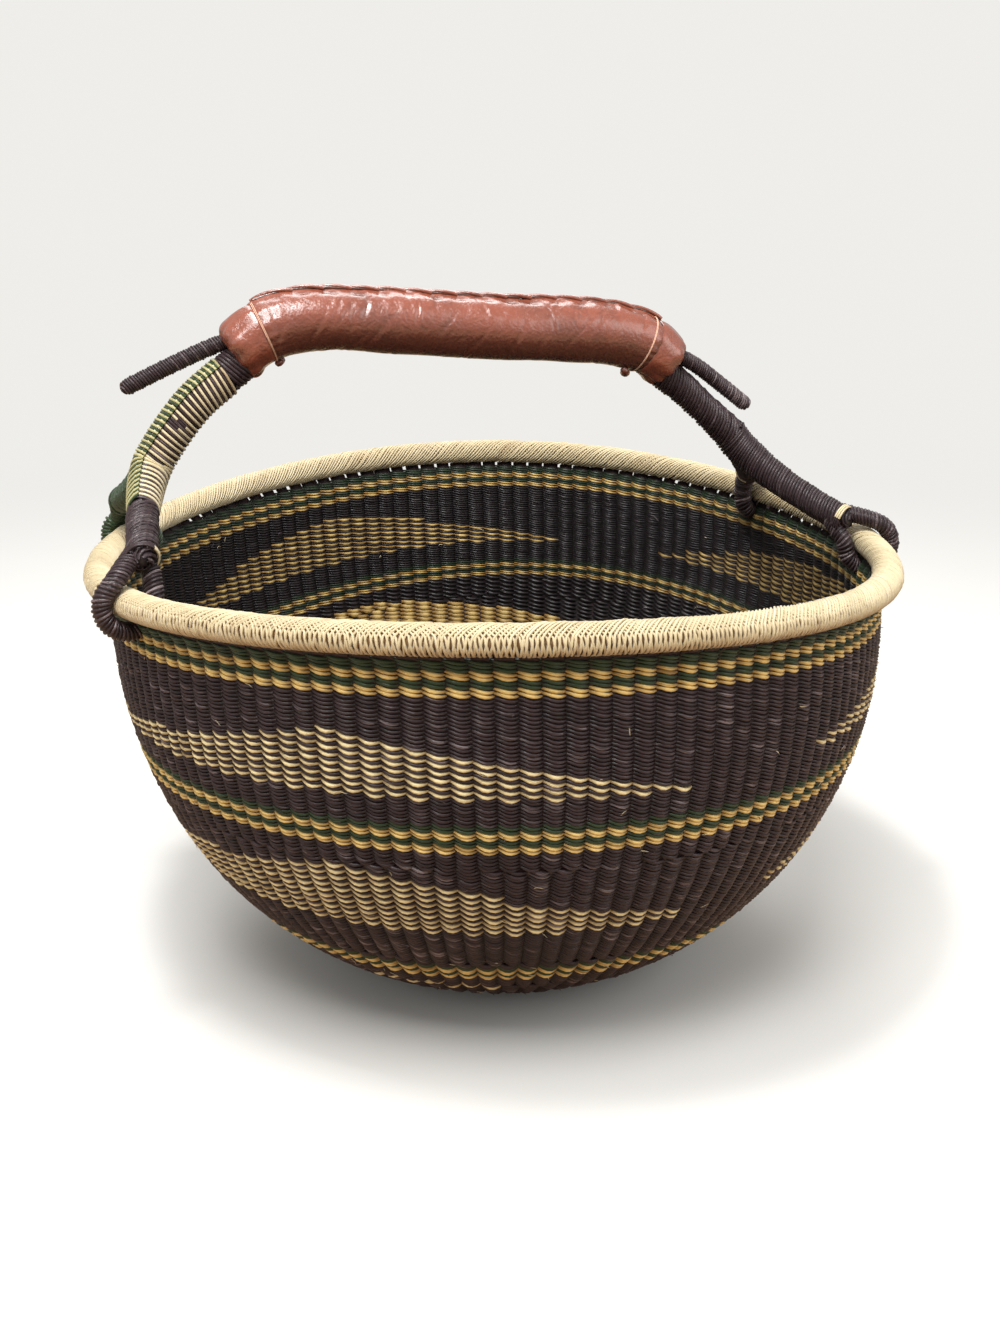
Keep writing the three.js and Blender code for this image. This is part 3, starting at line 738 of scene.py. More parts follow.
@dataclass
class Wedge:
    """A stepped wedge of two-colour rows: seen angles in degrees and depths in mm under the rim, counted in rows.

    In a dense wedge both strands of each row are yellow.
    """

    upper: Pairs
    lower: float
    slack: float = 0.8
    dense: bool = False

    def covers(self, angle: Array, down: float) -> Array:
        """Whether stitches lie in the wedge.

        Args:
            angle: Angles round the bowl in radians.
            down: Depth of the row under the rim in mm, along the wall at the front.

        Returns:
            True where a stitch lies inside.
        """
        places, depths = zip(*self.upper)
        degrees = np.degrees(angle + HANDLE_TURN) % 360
        degrees = np.where(degrees < places[0] - 1, degrees + 360, degrees)
        inside = (degrees > places[0]) & (degrees < places[-1])
        return inside & (down > np.interp(degrees, places, depths) - self.slack) & (down < self.lower + self.slack)


@dataclass
class Band:
    """One woven band of the wall, made for one CAD node: its stretch of the path, and rows added over its top."""

    node: str
    low: float
    high: float
    pitch: float
    striped: bool = False
    extra: int = 0


@dataclass(frozen=True)
class Twining:
    """How the two strands of a row run over the stakes and how even they are, as shares of the row's own sizes."""

    steps: int = 5
    squareness: float = 0.7
    wander: float = 0.06
    wave: float = 0.08
    waves: int = 3
    wave_share: float = 0.4
    sag: float = 0.3
    stripe_sag: float = 0.12
    uneven_sag: float = 0.06
    slant: float = 0.42
    inner_slant: float = 0.5
    uneven_place: float = 0.02
    uneven_rise: float = 0.07
    bright_rise: float = 0.15
    slim: float = 0.36
    belly: float = 0.12
    bright_belly: float = 0.22
    inner_bright_belly: float = 0.42
    uneven_belly: float = 0.12
    crossing_depth: float = 0.7
    tone_spread: float = 0.22
    # Painted shade where each strand dips behind a stake, for dark and for bright strands.
    painted_shade: float = 0.6
    bright_painted_shade: float = 0.85
    # Painted shade on the dark stitches of the bowl's inner face.
    inner_painted_shade: float = 0.35
    inner_dye_below: float = -0.3


@dataclass(frozen=True)
class LooseEnds:
    """Short loose straw ends over both faces of the wall: how many, where, how long and how they lie."""

    count: int = 850
    steps: int = 7
    outside: float = 0.62
    above_floor: float = 8.0
    under_top: float = 16.0
    reach: tuple[float, float] = (0.8, 4.4)
    heading: float = 0.35
    upright: float = 0.12
    bow: float = 0.4
    lift: tuple[float, float] = (0.1, 1.3)
    sunk: float = 0.85
    taper: float = 0.75
    half_width: tuple[float, float] = (0.12, 0.24)
    half_depth: float = 0.11
    pale: float = 0.35
    tone: float = 0.95


@dataclass
class Weave:
    """The twined wall: stakes from base to rim, and two weft strands that cross between every two stakes."""

    bowl: BowlShape
    finishes: Finishes
    rim_edge: float = 212.8
    stakes: tuple[tuple[float, int], ...] = (
        (181.0, 126), (146.0, 110), (122.0, 92), (98.0, 76), (76.0, 60), (57.0, 46), (40.0, 34), (24.0, 22), (0.0, 12))
    wedges: tuple[Wedge, ...] = (
        Wedge(((180, 60), (192, 57.5), (207, 54), (217, 49.5), (230, 42.5), (243, 35), (250, 32), (295, 60.5)), 61.5),
        Wedge(((318, 57), (337, 45.5), (370, 22), (385, 26.3), (395, 33.4), (405, 44.4), (415, 55.4), (422, 58)), 57),
        Wedge(((77, 60), (90, 50.8), (98, 45), (107, 38), (115, 30.3), (122.5, 26), (135, 32.7), (145, 42.5),
               (153, 50), (170, 60)), 59.5),
        Wedge(((180, 130), (192, 124), (207, 119), (227, 111), (237, 107), (246.5, 101.6), (265, 113), (282, 125.7),
               (300, 138)), 140),
        Wedge(((319, 137), (369, 102), (421, 139)), 139),
        Wedge(((77, 111), (90, 105.6), (98, 102.5), (107, 98.7), (119, 94.5), (140, 103), (163, 112)), 112,
              dense=True),
        Wedge(((234, 209), (252, 202), (276, 209)), 209), Wedge(((345, 209), (370, 200), (390, 209)), 209),
        Wedge(((105, 209), (125, 200), (145, 209)), 209))
    start_edge: float = 24.2
    floor_pitch: float = 2.5
    wall_pitches: tuple[float, float, float] = (2.1, 1.95, 1.75)
    stripe_rows: int = 8
    rows_in_piece: int = 13
    out: float = 1.85
    depth: float = 1.15
    twining: Twining = Twining()
    ends: LooseEnds = LooseEnds()
    stake_width: float = 0.58
    stake_top_width: tuple[float, float] = (0.41, 0.62)
    stake_depth: float = 0.95
    stake_tops: tuple[float, float, float, float] = (0.0, 3.6, 4.6, 9.0)
    stake_step: float = 7.0
    stake_tone: float = 0.3
    start_hole: float = 2.0
    seed: int = 11

    def bands(self) -> list[Band]:
        """Lays out the bands of the wall.

        Returns:
            The bands from the base up, with their stretch of the path and row pitch.
        """
        feet = [self.bowl.path_at_height(foot) for foot in self.bowl.stripe_feet]
        edge = self.bowl.floor_radius
        deep = self.bowl.stripe_depth
        pitch = deep / self.stripe_rows
        lower, middle, upper = self.wall_pitches
        return [
            Band("woven_start", 0.0, self.start_edge, self.floor_pitch),
            Band("base_weave", self.start_edge, edge, self.floor_pitch),
            Band("lower_wall", edge, feet[0], lower),
            Band("lower_stripe", feet[0], feet[0] + deep, pitch, striped=True),
            Band("middle_wall", feet[0] + deep, feet[1], middle),
            Band("middle_stripe", feet[1], feet[1] + deep, pitch, striped=True),
            Band("upper_wall", feet[1] + deep, feet[2], upper),
            Band("upper_stripe", feet[2], feet[2] + deep, pitch, striped=True, extra=1),
        ]

    def stakes_at(self, path: float) -> int:
        """Number of stakes at a length of the path."""
        radius = self.bowl.radius_at(path)
        return next(count for least, count in self.stakes if radius >= least)

    def weave_band(self, band: Band) -> None:
        """Weaves one band, a few rows to an object.

        Args:
            band: The band.
        """
        rng = np.random.default_rng(self.seed + int(band.low))
        rows = max(2, round((band.high - band.low) / band.pitch))
        pitch = (band.high - band.low) / rows
        top = self.bowl.path_at_height(self.rim_edge)
        slot = "yellow_straw" if band.striped else "dark_straw"
        numbers = list(range(-band.extra, rows))
        for start in range(0, len(numbers), self.rows_in_piece):
            piece = Piece(f"woven_{band.node}_{start}", [Dye.DARK, Dye.GREEN, Dye.YELLOW, Dye.PALE_YELLOW])
            for row in numbers[start:start + self.rows_in_piece]:
                path = band.high - (row + 0.5) * pitch
                order = row if band.striped else round((top - path) / band.pitch)
                self.add_row(piece, rng, path, pitch, self.stakes_at(path), order, top - path, band.striped)
            piece.build(self.finishes, slot, band.node)

    def add_row(self, piece: Piece, rng: np.random.Generator, path: float, pitch: float, stakes: int, row: int,
                down: float, striped: bool) -> None:
        """Adds the two strands of one row.

        Args:
            piece: The piece that gets them.
            rng: Seeded source of small unevenness.
            path: Length of the path at the row's middle.
            pitch: Distance between rows.
            stakes: Number of stakes in the row.
            row: Number of the row, which sets which strand is outside first.
            down: Depth under the rim.
            striped: Whether the row belongs to a stripe group.
        """
        way = self.twining
        samples = stakes * way.steps
        share = np.arange(samples) / way.steps - 0.5
        stake = np.arange(samples) // way.steps
        strand = np.arange(2)[:, None]
        phase = math.pi * (share[None] + row + strand)
        swing = np.cos(phase)
        flat = np.sign(swing) * np.abs(swing) ** way.squareness
        rough = rng.normal(0, 1, (2, stakes, 4))[:, stake]
        wave = rng.normal(0, way.wander) + way.wave * np.sin(
            share / stakes * FULL_TURN * way.waves + rng.uniform(0, 6))
        belly = swing**2
        colour = np.zeros((2, samples), int)
        if striped:
            colour[:] = 1 if (max(row, 0) // 2) % 2 == 0 else 2
        else:
            middle_angle = stake * FULL_TURN / stakes
            for wedge in self.wedges:
                covered = wedge.covers(middle_angle, down)
                colour[0][covered] = np.where(swing[0][covered] < way.inner_dye_below, 2, 3)
                if wedge.dense:
                    colour[1][covered] = 2
        bright = colour >= 2
        inside, dark = swing < 0, ~bright
        sag = way.stripe_sag if striped else way.sag
        slant = way.slant * np.sin(phase) * (1 + way.inner_slant * np.minimum(swing, 0))
        drop = pitch * (slant + sag * belly + way.uneven_sag * rough[..., 0] * belly + wave * way.wave_share)
        angle = (share[None] + way.uneven_place * rough[..., 1] * belly) * FULL_TURN / stakes + 0 * strand
        proud = flat * self.out * (1 + way.uneven_rise * rough[..., 2]) + np.where(bright, way.bright_rise, 0) * belly
        middle, closeness = self.bowl.row_at(path - drop, angle)
        points = self.bowl.skin(middle, proud, angle)
        out = self.bowl.skin(middle, proud + OUTWARDS, angle) - points
        bright_belly = np.where(inside, way.inner_bright_belly, way.bright_belly)
        fullness = way.belly if striped else np.where(bright, bright_belly, way.belly)
        width = pitch * closeness * (way.slim + fullness * belly * (1 + way.uneven_belly * rough[..., 3]))
        depth = self.depth * (way.crossing_depth + (1 - way.crossing_depth) * belly)
        tone = np.clip(0.5 + way.tone_spread * rough[..., 3], 0, 1)
        # Painted shade at the crossings, where the strands dip behind the stakes.
        painted_shade = np.where(bright, way.bright_painted_shade, way.painted_shade) * (1 - belly) ** 1.5
        # More painted shade on the dark stitches of the inner face.
        painted_shade = painted_shade + np.where(dark & inside, way.inner_painted_shade, 0)
        piece.strands(points, out, width, depth, closed=True, dye=colour, tone=tone, shade=painted_shade,
                      start=rng.uniform(0, PATTERN_REACH, (2, 1)))

    def build_stakes(self) -> None:
        """Makes the stakes, which the weft hides and which keep light out."""
        rng = np.random.default_rng(self.seed)
        piece = Piece("bowl_stakes", [Dye.DARK])
        tops = [self.bowl.length - 0.2]
        radii = self.bowl.table["r"]
        for least, count in self.stakes:
            foot = float(self.bowl.table["s"][int(np.argmax(radii >= least))]) if least else self.start_hole
            steps = max(3, int((tops[-1] - foot) / self.stake_step))
            *collar, below = (tops[-1] - down for down in self.stake_tops)
            path = np.concatenate([collar, np.linspace(below, max(foot - 3, self.start_hole), steps)])[None]
            path = path.repeat(count, 0)
            share = np.full(path.shape, self.stake_width)
            if len(tops) == 1:
                share[:, :2] = rng.uniform(*self.stake_top_width, (count, 1))
            angle = (np.arange(count) * FULL_TURN / count)[:, None] + 0 * path
            points = self.bowl.skin(path, 0 * path, angle)
            out = self.bowl.skin(path, 0 * path + OUTWARDS, angle) - points
            radius = np.interp(path, self.bowl.table["s"], radii)
            piece.strands(points, out, share * FULL_TURN * radius / count, self.stake_depth, tone=self.stake_tone)
            tops.append(foot)
        piece.build(self.finishes, "dark_straw")

    def build_loose_ends(self) -> None:
        """Scatters short loose straw ends over both faces of the wall."""
        rng = np.random.default_rng(self.seed + 1)
        piece = Piece("loose_straw_ends", [Dye.DARK, Dye.NATURAL])
        ends = self.ends
        count, steps = ends.count, ends.steps
        outside = rng.random((count, 1)) < ends.outside
        path = rng.uniform(self.bowl.floor_radius + ends.above_floor, self.bowl.length - ends.under_top, (count, 1))
        angle = rng.uniform(0, FULL_TURN, (count, 1))
        reach = rng.uniform(*ends.reach, (count, 1))
        heading = rng.normal(0, ends.heading, (count, 1))
        heading = heading + np.where(rng.random((count, 1)) < ends.upright, math.pi / 2, 0)
        run = np.linspace(-0.5, 0.5, steps)[None] * reach
        bow = rng.normal(0, ends.bow, (count, 1)) * (np.linspace(-1, 1, steps)[None] ** 2)
        radius = np.interp(path, self.bowl.table["s"], self.bowl.table["r"])
        lift = rng.uniform(*ends.lift, (count, 1)) * np.linspace(0, 1, steps)[None] ** 2
        proud = np.where(outside, 1, -1) * (self.out + self.depth * ends.sunk + lift)
        place, turn = path + run * np.sin(heading) + bow, angle + (run * np.cos(heading)) / radius
        points = self.bowl.skin(place, proud, turn)
        out = self.bowl.skin(place, proud + np.where(outside, OUTWARDS, -OUTWARDS), turn) - points
        taper = 1 - ends.taper * np.abs(np.linspace(-1, 1, steps))[None] ** 3
        dye = (rng.random((count, 1)) < ends.pale).astype(int)
        width = rng.uniform(*ends.half_width, (count, 1)) * taper
        piece.strands(points, out, width, ends.half_depth, sides=4, dye=dye, tone=ends.tone)
        piece.build(self.finishes, "dark_straw")

    def build(self) -> None:
        """Weaves the whole wall."""
        for band in self.bands():
            self.weave_band(band)
        self.build_stakes()
        self.build_loose_ends()


@dataclass
class Rim:
    """The rim: a bundle of straw and the pale straw whipped over it."""

    bowl: BowlShape
    finishes: Finishes
    turns: int = 590
    bundle: float = 6.3
    cover: float = 6.95
    half_width: float = 0.57
    half_depth: float = 0.72
    underside: float = 0.76
    outer_slope: float = 0.16
    top_slope: float = 0.85
    crossing: float = 0.55
    # Painted shade in the grooves between the whipping's turns.
    groove_shade: float = 0.85
    bundle_steps: int = 240
    bundle_sides: int = 14
    over_degrees: tuple[float, float] = (-84.0, 254.0)
    under_degrees: tuple[float, float] = (-88.0, 205.0)
    over_steps: int = 22
    under_steps: int = 18
    over_spread: tuple[float, float] = (5.0, 4.0)
    under_spread: tuple[float, float] = (6.0, 8.0)
    place_spread: float = 0.1
    sink: float = 0.5
    sink_reach: float = 0.12
    # Painted shade on the turns' ends, low under the rim on both faces.
    start_shade: float = 0.72
    end_shade: float = 0.6
    shade_reach: tuple[float, float] = (1.7, 0.7)
    outer_swell: float = 0.22
    wander: float = 0.2
    waver: float = 0.14
    over_tone: tuple[float, float, float] = (0.66, 0.17, 0.08)
    under_tone: tuple[float, float] = (0.6, 0.2)
    uneven_width: float = 0.06
    under_width: float = 0.95
    straw_sides: int = 5
    clump: int = 4
    clump_rise: float = 0.16
    seed: int = 5

    def lean(self, turn: Array) -> Array:
        """How far a turn of the whipping leans: little on the outside and more over the top.

        Args:
            turn: Angles round the tube.

        Returns:
            Angles round the bowl.
        """
        slant = self.outer_slope * (turn - self.crossing) + self.top_slope * np.maximum(turn - self.crossing, 0)
        return slant * self.cover / self.bowl.rim_radius

    def around(self, turn: Array, angle: Array, radius: Array) -> tuple[Array, Array]:
        """Points on a tube about the rim's middle.

        Args:
            turn: Angles round the tube: 0 outwards, a right angle on top.
            angle: Angles round the bowl.
            radius: Distances from the rim's middle.

        Returns:
            The points and the directions away from the middle.
        """
        centre = self.bowl.rim_radius
        level = self.bowl.rim_height
        rise = radius * np.sin(turn)
        rise = np.where(rise < 0, self.underside * rise, rise)
        points = self.bowl.place(centre + radius * np.cos(turn), level + rise, angle)
        middle = self.bowl.place(centre + 0 * turn, level + 0 * turn, angle)
        return points, points - middle

    def build(self) -> None:
        """Makes the bundle and the whipping."""
        rng = np.random.default_rng(self.seed)
        bundle = Piece("rim_straw_bundle", [Dye.NATURAL])
        angle = np.linspace(0, FULL_TURN, self.bundle_steps, endpoint=False)[None]
        lift = self.bundle * (1 - self.underside) / 2
        middle = self.bowl.place(self.bowl.rim_radius + 0 * angle, self.bowl.rim_height + lift + 0 * angle, angle)
        # The bundle takes its deepest tone and full painted shade, so the gaps between the whipping's turns read as
        # shade.
        bundle.strands(middle, np.broadcast_to([0.0, 0.0, 1.0], middle.shape), self.bundle, self.bundle - lift,
                       self.bundle_sides, closed=True, tone=0.0, shade=1.0)
        bundle.build(self.finishes, "natural_straw", "rim_core")
        whip = Piece("rim_whipping", [Dye.NATURAL])
        self.whip_over(whip, rng)
        self.whip_under(whip, rng)
        whip.build(self.finishes, "natural_straw", "rim_wrap")

    def shade_at_start(self, from_start: Array) -> Array:
        """Painted shade of a turn near its start, low on the outside under the rim, where it comes out of the wall."""
        return np.clip(self.start_shade - from_start / self.shade_reach[0], 0, self.start_shade)

    def swell(self, turn: Array) -> Array:
        """How much wider a turn is low on the outside than over the top."""
        return 1 + self.outer_swell * np.clip(0.9 - turn, -0.4, 1)

    def whip_over(self, whip: Piece, rng: np.random.Generator) -> None:
        """Lays the outer turns of the whipping, which lean one way.

        Args:
            whip: The piece that gets them.
            rng: Seeded source of small unevenness.
        """
        count = self.turns
        spread = rng.normal(0, 1, (count, 6))
        (low, high), (uneven_low, uneven_high) = self.over_degrees, self.over_spread
        start = np.radians(low + uneven_low * spread[:, :1])
        end = np.radians(high + uneven_high * spread[:, 1:2])
        turn = start + (end - start) * np.linspace(0, 1, self.over_steps)[None]
        first = (np.arange(count)[:, None] + self.place_spread * spread[:, 2:3]) * FULL_TURN / count
        lean = self.lean(turn) + self.wander * spread[:, 3:4] * np.sin(2 * turn) / self.bowl.rim_radius
        sink = self.sink * np.exp(-np.minimum(turn - start, end - turn) / self.sink_reach)
        radius = self.cover + self.waver * np.sin(3 * turn + spread[:, 4:5]) - sink
        points, out = self.around(turn, first + lean, radius)
        # Painted shade near both ends of each turn, under the rim.
        near_end = np.clip(self.end_shade - (end - turn) / self.shade_reach[1], 0, self.end_shade)
        painted_shade = self.shade_at_start(turn - start) + near_end
        knots = rng.normal(0, 1, math.ceil(count / self.clump))
        clump = np.interp(np.arange(count), np.arange(0, count, self.clump), knots)[:, None]
        points = points + self.clump_rise * clump[..., None] * out / np.linalg.norm(out, axis=-1, keepdims=True)
        # Painted shade on clumps of turns that sit lower.
        painted_shade = np.clip(painted_shade - self.clump_rise * np.minimum(clump, 0), 0, 1)
        middle, own, shared = self.over_tone
        tone = np.clip(middle + own * spread[:, 5:6] + shared * clump, 0, 1)
        wide = self.half_width * (1 + self.uneven_width * spread[:, :1]) * self.swell(turn)
        whip.strands(points, out, wide, self.half_depth, self.straw_sides, tone=tone, shade=painted_shade,
                     start=rng.uniform(0, PATTERN_REACH, (count, 1)), groove_shade=self.groove_shade)

    def whip_under(self, whip: Piece, rng: np.random.Generator) -> None:
        """Lays the inner turns of the whipping, which lean the other way and show between the outer ones.

        Args:
            whip: The piece that gets them.
            rng: Seeded source of small unevenness.
        """
        count = self.turns
        spread = rng.normal(0, 1, (count, 5))
        (low, high), (uneven_low, uneven_high) = self.under_degrees, self.under_spread
        start = np.radians(low + uneven_low * spread[:, :1])
        end = np.radians(high + uneven_high * spread[:, 1:2])
        share = np.linspace(0, 1, self.under_steps)[None]
        turn = start + (end - start) * share
        first = (np.arange(count)[:, None] + 0.5 + self.place_spread * spread[:, 4:5]) * FULL_TURN / count
        proud = self.cover + 0.3 * np.cos(turn + 0.9) - 0.15 + 0.1 * np.sin(4 * turn + spread[:, 3:4]) - 0.6 * share**6
        points, out = self.around(turn, first - self.lean(turn), proud)
        # Painted shade near both ends, deepest at the inner end under the rim.
        painted_shade = self.shade_at_start(turn - start) + 0.3 * share**3
        middle, own = self.under_tone
        tone = np.clip(middle + own * spread[:, 2:3], 0, 1)
        wide = self.half_width * self.under_width * self.swell(turn)
        whip.strands(points, out, wide, self.half_depth, self.straw_sides, tone=tone, shade=painted_shade,
                     start=rng.uniform(0, PATTERN_REACH, (count, 1)), groove_shade=self.groove_shade)


class Line:
    """A smooth line through points, with places by share of its length and two axes square to it."""

    span_samples = 30
    bend_samples = 120
    least_samples = 60
    spacing = 0.8

    def __init__(self, dense: Array, side: Array | None = None) -> None:
        """Measures a densely sampled line.

        Args:
            dense: Points in mm.
            side: One fixed direction square to a flat line, if it has one.
        """
        gaps = np.linalg.norm(np.diff(dense, axis=0), axis=1)
        dense = dense[np.concatenate([[True], gaps > SAME_PLACE])]
        length = np.concatenate([[0], np.cumsum(np.linalg.norm(np.diff(dense, axis=0), axis=1))])
        self.length = float(length[-1])
        even = np.linspace(0, self.length, max(self.least_samples, int(self.length / self.spacing)))
        self.shares = even / self.length
        self.points = np.stack([np.interp(even, length, dense[:, axis]) for axis in range(3)], -1)
        run = np.gradient(self.points, axis=0)
        self.run = run / np.linalg.norm(run, axis=1, keepdims=True)
        if side is None:
            side = np.array([0.0, 1.0, 0.0])
        first = side[None] - self.run * (self.run @ side)[:, None]
        self.first = first / np.linalg.norm(first, axis=1, keepdims=True)
        self.second = np.cross(self.run, self.first)

    @classmethod
    def through(cls, points: list[Array], side: Array | None = None) -> Line:
        """Makes the smooth curve through points that the CAD uses.

        Args:
            points: The points in mm.
            side: One fixed direction square to a flat line, if it has one.

        Returns:
            The line.
        """
        knots = np.array(points, float)
        knots = np.vstack([2 * knots[0] - knots[1], knots, 2 * knots[-1] - knots[-2]])
        dense = []
        for one, two, three, four in zip(knots, knots[1:], knots[2:], knots[3:]):
            before, here, after = (math.sqrt(np.linalg.norm(end - start))
                                   for start, end in ((one, two), (two, three), (three, four)))
            first = ((two - one) / before - (three - one) / (before + here) + (three - two) / here) * here
            last = ((three - two) / here - (four - two) / (here + after) + (four - three) / after) * here
            dense.append(bend(two, three, first, last, cls.span_samples))
        return cls(np.vstack([*dense, knots[-2:-1]]), side)

    @classmethod
    def bent(cls, start: Array, elbow: Array, end: Array) -> Line:
        """Makes a simple bend with one elbow."""
        share = np.linspace(0, 1, cls.bend_samples)[:, None]
        return cls((1 - share) ** 2 * start + 2 * share * (1 - share) * elbow + share**2 * end)

    def at(self, share: Array) -> tuple[Array, Array, Array, Array]:
        """Places, directions and two square axes at shares of the length.

        Args:
            share: Shares from 0 to 1; beyond them the line runs straight on.

        Returns:
            Points, directions, first axes and second axes.
        """
        held = np.clip(share, 0, 1)
        found = [np.stack([np.interp(held, self.shares, table[:, axis]) for axis in range(3)], -1)
                 for table in (self.points, self.run, self.first, self.second)]
        found[0] = found[0] + found[1] * ((share - held) * self.length)[..., None]
        return tuple(found)

    def around(self, share: Array, turn: Array, radius: Array, flat: float = 1.0) -> tuple[Array, Array]:
        """Points round the line.

        Args:
            share: Shares of the length.
            turn: Angles from the first axis towards the second.
            radius: Distances from the line.
            flat: Stretch along the first axis.

        Returns:
            Points and outward directions.
        """
        middle, _, first, second = self.at(share)
        out = first * (flat * np.cos(turn))[..., None] + second * np.sin(turn)[..., None]
        normal = first * (np.cos(turn) / flat)[..., None] + second * np.sin(turn)[..., None]
        return middle + out * np.asarray(radius)[..., None], normal


@dataclass(frozen=True)
class Leg:
    """One leg: where its strands part beside the rim, and how its straw is wound and lashed."""

    name: str
    degrees: float
    height: float
    inset: float
    dye: Dye = Dye.DARK
    fork_less: float = 0.4
    swell: float = 0.8
    start: float = 0.0
    pitch: float = 1.9
    lashing: float = 0.82
    natural_side: Place | None = None
    natural_aside: Place = (0.0, 0.0, 0.0)

    def facing(self) -> Array:
        """Turns the lashing so that its natural straw shows.

        Returns:
            The direction in which it shows: into the bowl, unless the leg says otherwise.
        """
        angle = math.radians(self.degrees)
        side = self.natural_side or (-math.cos(angle), -math.sin(angle), -0.2)
        return np.array(side) + np.array(self.natural_aside)


@dataclass
class HandleShape:
    """Lines of the handle, as the CAD has them."""

    bowl: BowlShape
    reach: float = 197.0
    rise: float = 110.0
    setback: float = 24.0
    spacing: float = 5.5
    loop_radius: float = 4.2
    loop_clearance: float = 0.7
    loop_degrees: tuple[float, ...] = (60, 25, -10, -45, -80, -115, -150, -185)
    grip: Pairs = (
        (-0.652, 0.86), (-0.574, 0.955), (-0.482, 0.995), (-0.33, 0.991), (-0.147, 0.964), (0.036, 0.936),
        (0.203, 0.922), (0.34, 0.896), (0.448, 0.838), (0.518, 0.74))
    left_arm: Pairs = (
        (-0.612, 0.86), (-0.65, 0.803), (-0.69, 0.748), (-0.748, 0.664), (-0.812, 0.53), (-0.858, 0.41))
    right_arm: Pairs = (
        (0.48, 0.73), (0.51, 0.69), (0.545, 0.643), (0.62, 0.526), (0.698, 0.402))
    left_elbow: tuple[float, float] = (-0.898, 0.27)
    right_elbow: tuple[float, float] = (0.785, 0.2)
    left_stub: Pairs = ((-0.598, 0.958), (-0.69, 0.91), (-0.8, 0.83), (-0.909, 0.742))
    right_stub: Pairs = ((0.475, 0.845), (0.577, 0.757), (0.66, 0.652), (0.741, 0.544))
    knee: float = 0.86
    legs: tuple[Leg, ...] = (
        Leg("left_front", 197.5, 18, 8, start=0.43, pitch=2.7, lashing=0.93, natural_aside=(0.0, -0.4, -0.5)),
        Leg("left_rear", 153, 18, -5, Dye.GREEN),
        Leg("right_front", -11.5, 11, 10, swell=1.9, lashing=0.935, natural_side=(0.6, -1.3, 0.6)),
        Leg("right_rear", 21.5, 14, 9, fork_less=2.4))

    def point(self, share: tuple[float, float], aside: float = 0.0) -> Array:
        """A point of the handle's plane from its shares of reach and rise."""
        return np.array([share[0] * self.reach, self.setback + aside, self.bowl.rim_height + share[1] * self.rise])

    def line(self, shares: Pairs, aside: float = 0.0) -> Line:
        """A smooth line through shares of the handle's plane."""
        return Line.through([self.point(share, aside) for share in shares])

    def beside_rim(self, degrees: float, outwards: float, upwards: float) -> Array:
        """Finds a point beside the rim.

        Args:
            degrees: Angle round the bowl.
            outwards: Distance outwards from the rim's middle in mm.
            upwards: Distance upwards from it.

        Returns:
            The point in mm.
        """
        angle = np.array(math.radians(degrees))
        base = self.bowl.place(np.array(self.bowl.rim_radius), np.array(self.bowl.rim_height), angle)
        return base + outwards * np.array([math.cos(angle), math.sin(angle), 0]) + np.array([0, 0, upwards])

    def leg_line(self, leg: Leg) -> Line:
        """Draws the middle line of a leg, from its arm's foot to where its strands part.

        Args:
            leg: The leg.

        Returns:
            The line.
        """
        left = leg.name.startswith("left")
        arm, elbow = (self.left_arm, self.left_elbow) if left else (self.right_arm, self.right_elbow)
        return Line.bent(self.point(arm[-1]), self.point(elbow), self.beside_rim(leg.degrees, -leg.inset, leg.height))

    def loop_line(self, leg: Leg) -> Line:
        """Draws the line of the strand that goes round the rim on one leg.

        Args:
            leg: The leg.

        Returns:
            The line.
        """
        reach = self.bowl.rim_tube + self.loop_clearance + self.loop_radius
        middle = self.leg_line(leg)
        parting = self.beside_rim(leg.degrees, leg.height, leg.inset) - self.beside_rim(leg.degrees, 0, 0)
        parting /= np.linalg.norm(parting)
        foot = middle.at(np.array(self.knee))[0]
        ring = [self.beside_rim(leg.degrees, reach * math.cos(turn), reach * math.sin(turn))
                for turn in map(math.radians, self.loop_degrees)]
        angle = math.radians(leg.degrees)
        side = np.array([-math.sin(angle), math.cos(angle), 0])
        half = self.spacing / 2
        return Line.through([foot + parting * half, *ring, foot - parting * half], side)


